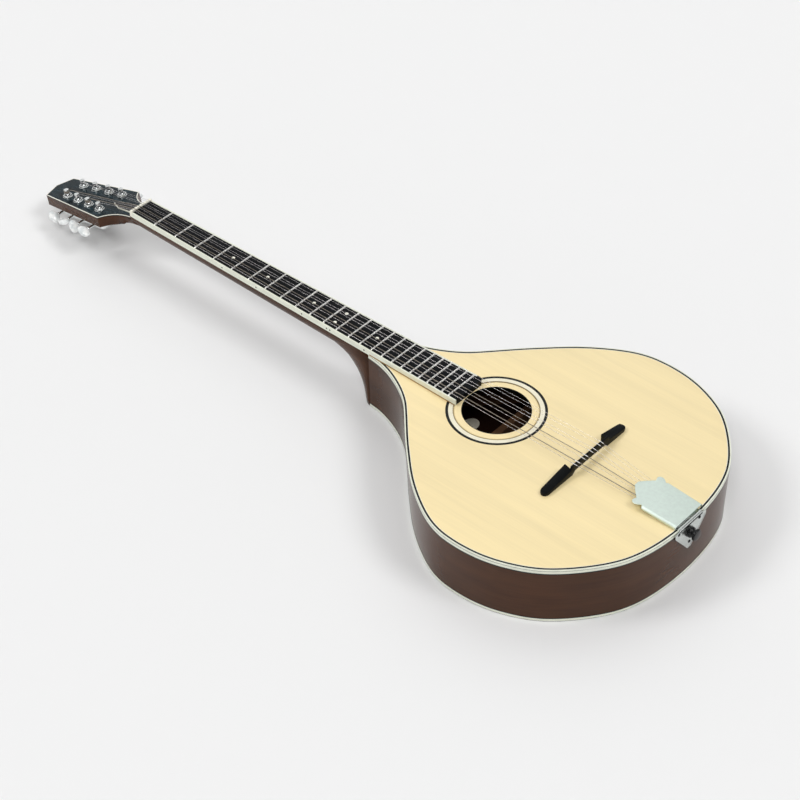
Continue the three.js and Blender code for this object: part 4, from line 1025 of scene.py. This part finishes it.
def build_stage():
    scene = bpy.context.scene
    stage = scene.bouzouki_stage
    a, e, r = CAMERA_AZIMUTH, CAMERA_ELEVATION, CAMERA_ROLL
    right = Vector((math.cos(a), math.sin(a), 0))
    back = Vector((math.sin(a) * math.cos(e), -math.cos(a) * math.cos(e), math.sin(e)))
    up = back.cross(right)
    across = right * math.cos(r) + up * math.sin(r)
    upward = up * math.cos(r) - right * math.sin(r)
    camera = bpy.data.objects.new("camera", bpy.data.cameras.new("camera"))
    camera.matrix_world = Matrix((across, upward, back)).transposed().to_4x4()
    camera.matrix_world.translation = CAMERA_PLACE
    camera.data.lens = CAMERA_LENS
    camera.data.clip_end = 50
    scene.collection.objects.link(camera)
    scene.camera = camera
    scene.view_settings.view_transform = "Standard"

    sweep = to_mesh("floor", swept_floor())
    sweep.materials.append(shaded("Matt paper, rolled out", tuple(stage.floor), 0.9)[0])
    for polygon in sweep.polygons:
        polygon.use_smooth = True
    floor = bpy.data.objects.new("floor", sweep)
    scene.collection.objects.link(floor)

    world = bpy.data.worlds.new("studio")
    scene.world = world
    world.use_nodes = True
    tree = world.node_tree
    place = add_node(tree, "TexCoord")
    forward = Vector((-math.sin(a), math.cos(a), 0))
    wall = forward * math.cos(WALL_RISE) + Vector((0, 0, math.sin(WALL_RISE)))
    near = add_node(tree, "VectorMath", {"operation": "DOT_PRODUCT", 1: wall},
                    {0: place.outputs["Generated"]})
    room = graded(tree, near.outputs["Value"], [(at, (grey, grey, grey)) for at, grey in ROOM_LEVELS])
    background = tree.nodes["Background"]
    tree.links.new(room.outputs["Color"], background.inputs["Color"])
    background.inputs["Strength"].default_value = stage.room

    for name, angles in LAMPS.items():
        turn, rise, width = (math.radians(angle) for angle in angles)
        lamp = bpy.data.lights.new(name, "SUN")
        lamp.energy = getattr(stage, name)
        lamp.angle = width
        towards = (right * math.sin(turn) + forward * math.cos(turn)) * math.cos(rise)
        towards.z = math.sin(rise)
        sun = bpy.data.objects.new(name, lamp)
        sun.rotation_euler = towards.to_track_quat("Z", "Y").to_euler()
        scene.collection.objects.link(sun)


# Operators, panel and main


class BuildStep:
    """What the build operators share: the finishes are made by the first one that runs."""
    bl_options = {"REGISTER", "UNDO"}

    def execute(self, context):
        if not FINISHES:
            make_finishes()
        self.build()
        return {"FINISHED"}


def operator(idname, label, doc, build):
    """An operator class for one build step."""
    return type("BOUZOUKI_OT_" + idname, (BuildStep, bpy.types.Operator),
                {"bl_idname": "bouzouki." + idname, "bl_label": label, "__doc__": doc,
                 "build": staticmethod(build)})


STEPS = [
    ("stage", "Stage", "Adds the camera, the paper floor and the lamps", build_stage),
    ("body", "Body", "Builds the soundboard, sides, back, bindings and purflings", build_body),
    ("rosette", "Rosette", "Builds the rings inlaid round the sound hole", build_rosette),
    ("neck", "Neck", "Builds the neck, fingerboard, frets, dots and nut", build_neck),
    ("headstock", "Headstock", "Builds the head's face, its binding and the rod cover", build_headstock),
    ("tuners", "Tuning machines", "Builds the gearboxes, posts, worms and buttons", build_tuners),
    ("strings", "Strings", "Builds the eight strings with their windings", build_strings),
    ("bridge", "Bridge", "Builds the floating bridge", build_bridge),
    ("tailpiece", "Tailpiece", "Builds the tailpiece, its screws and the strap button", build_tailpiece),
]
OPERATORS = [operator(*step) for step in STEPS]


class BOUZOUKI_PT_panel(bpy.types.Panel):
    """Lists the build steps and the sizes and colours that they use"""
    bl_label = "Irish Bouzouki"
    bl_idname = "BOUZOUKI_PT_panel"
    bl_space_type = "VIEW_3D"
    bl_region_type = "UI"
    bl_category = "Bouzouki"

    def draw(self, context):
        for group in GROUPS:
            values = getattr(context.scene, group)
            for key in values.__annotations__:
                self.layout.prop(values, key)
        for step in STEPS:
            self.layout.operator("bouzouki." + step[0])


GROUPS = {"bouzouki_body": BouzoukiBody, "bouzouki_neck": BouzoukiNeck,
          "bouzouki_strings": BouzoukiStrings, "bouzouki_stage": BouzoukiStage}
CLASSES = [*GROUPS.values(), *OPERATORS, BOUZOUKI_PT_panel]


def register():
    for cls in CLASSES:
        bpy.utils.register_class(cls)
    for name, cls in GROUPS.items():
        setattr(bpy.types.Scene, name, PointerProperty(type=cls))


def unregister():
    for name in GROUPS:
        delattr(bpy.types.Scene, name)
    for cls in reversed(CLASSES):
        bpy.utils.unregister_class(cls)


def main():
    register()
    for idname, *_ in STEPS:
        getattr(bpy.ops.bouzouki, idname)()


if __name__ == "__main__":
    main()
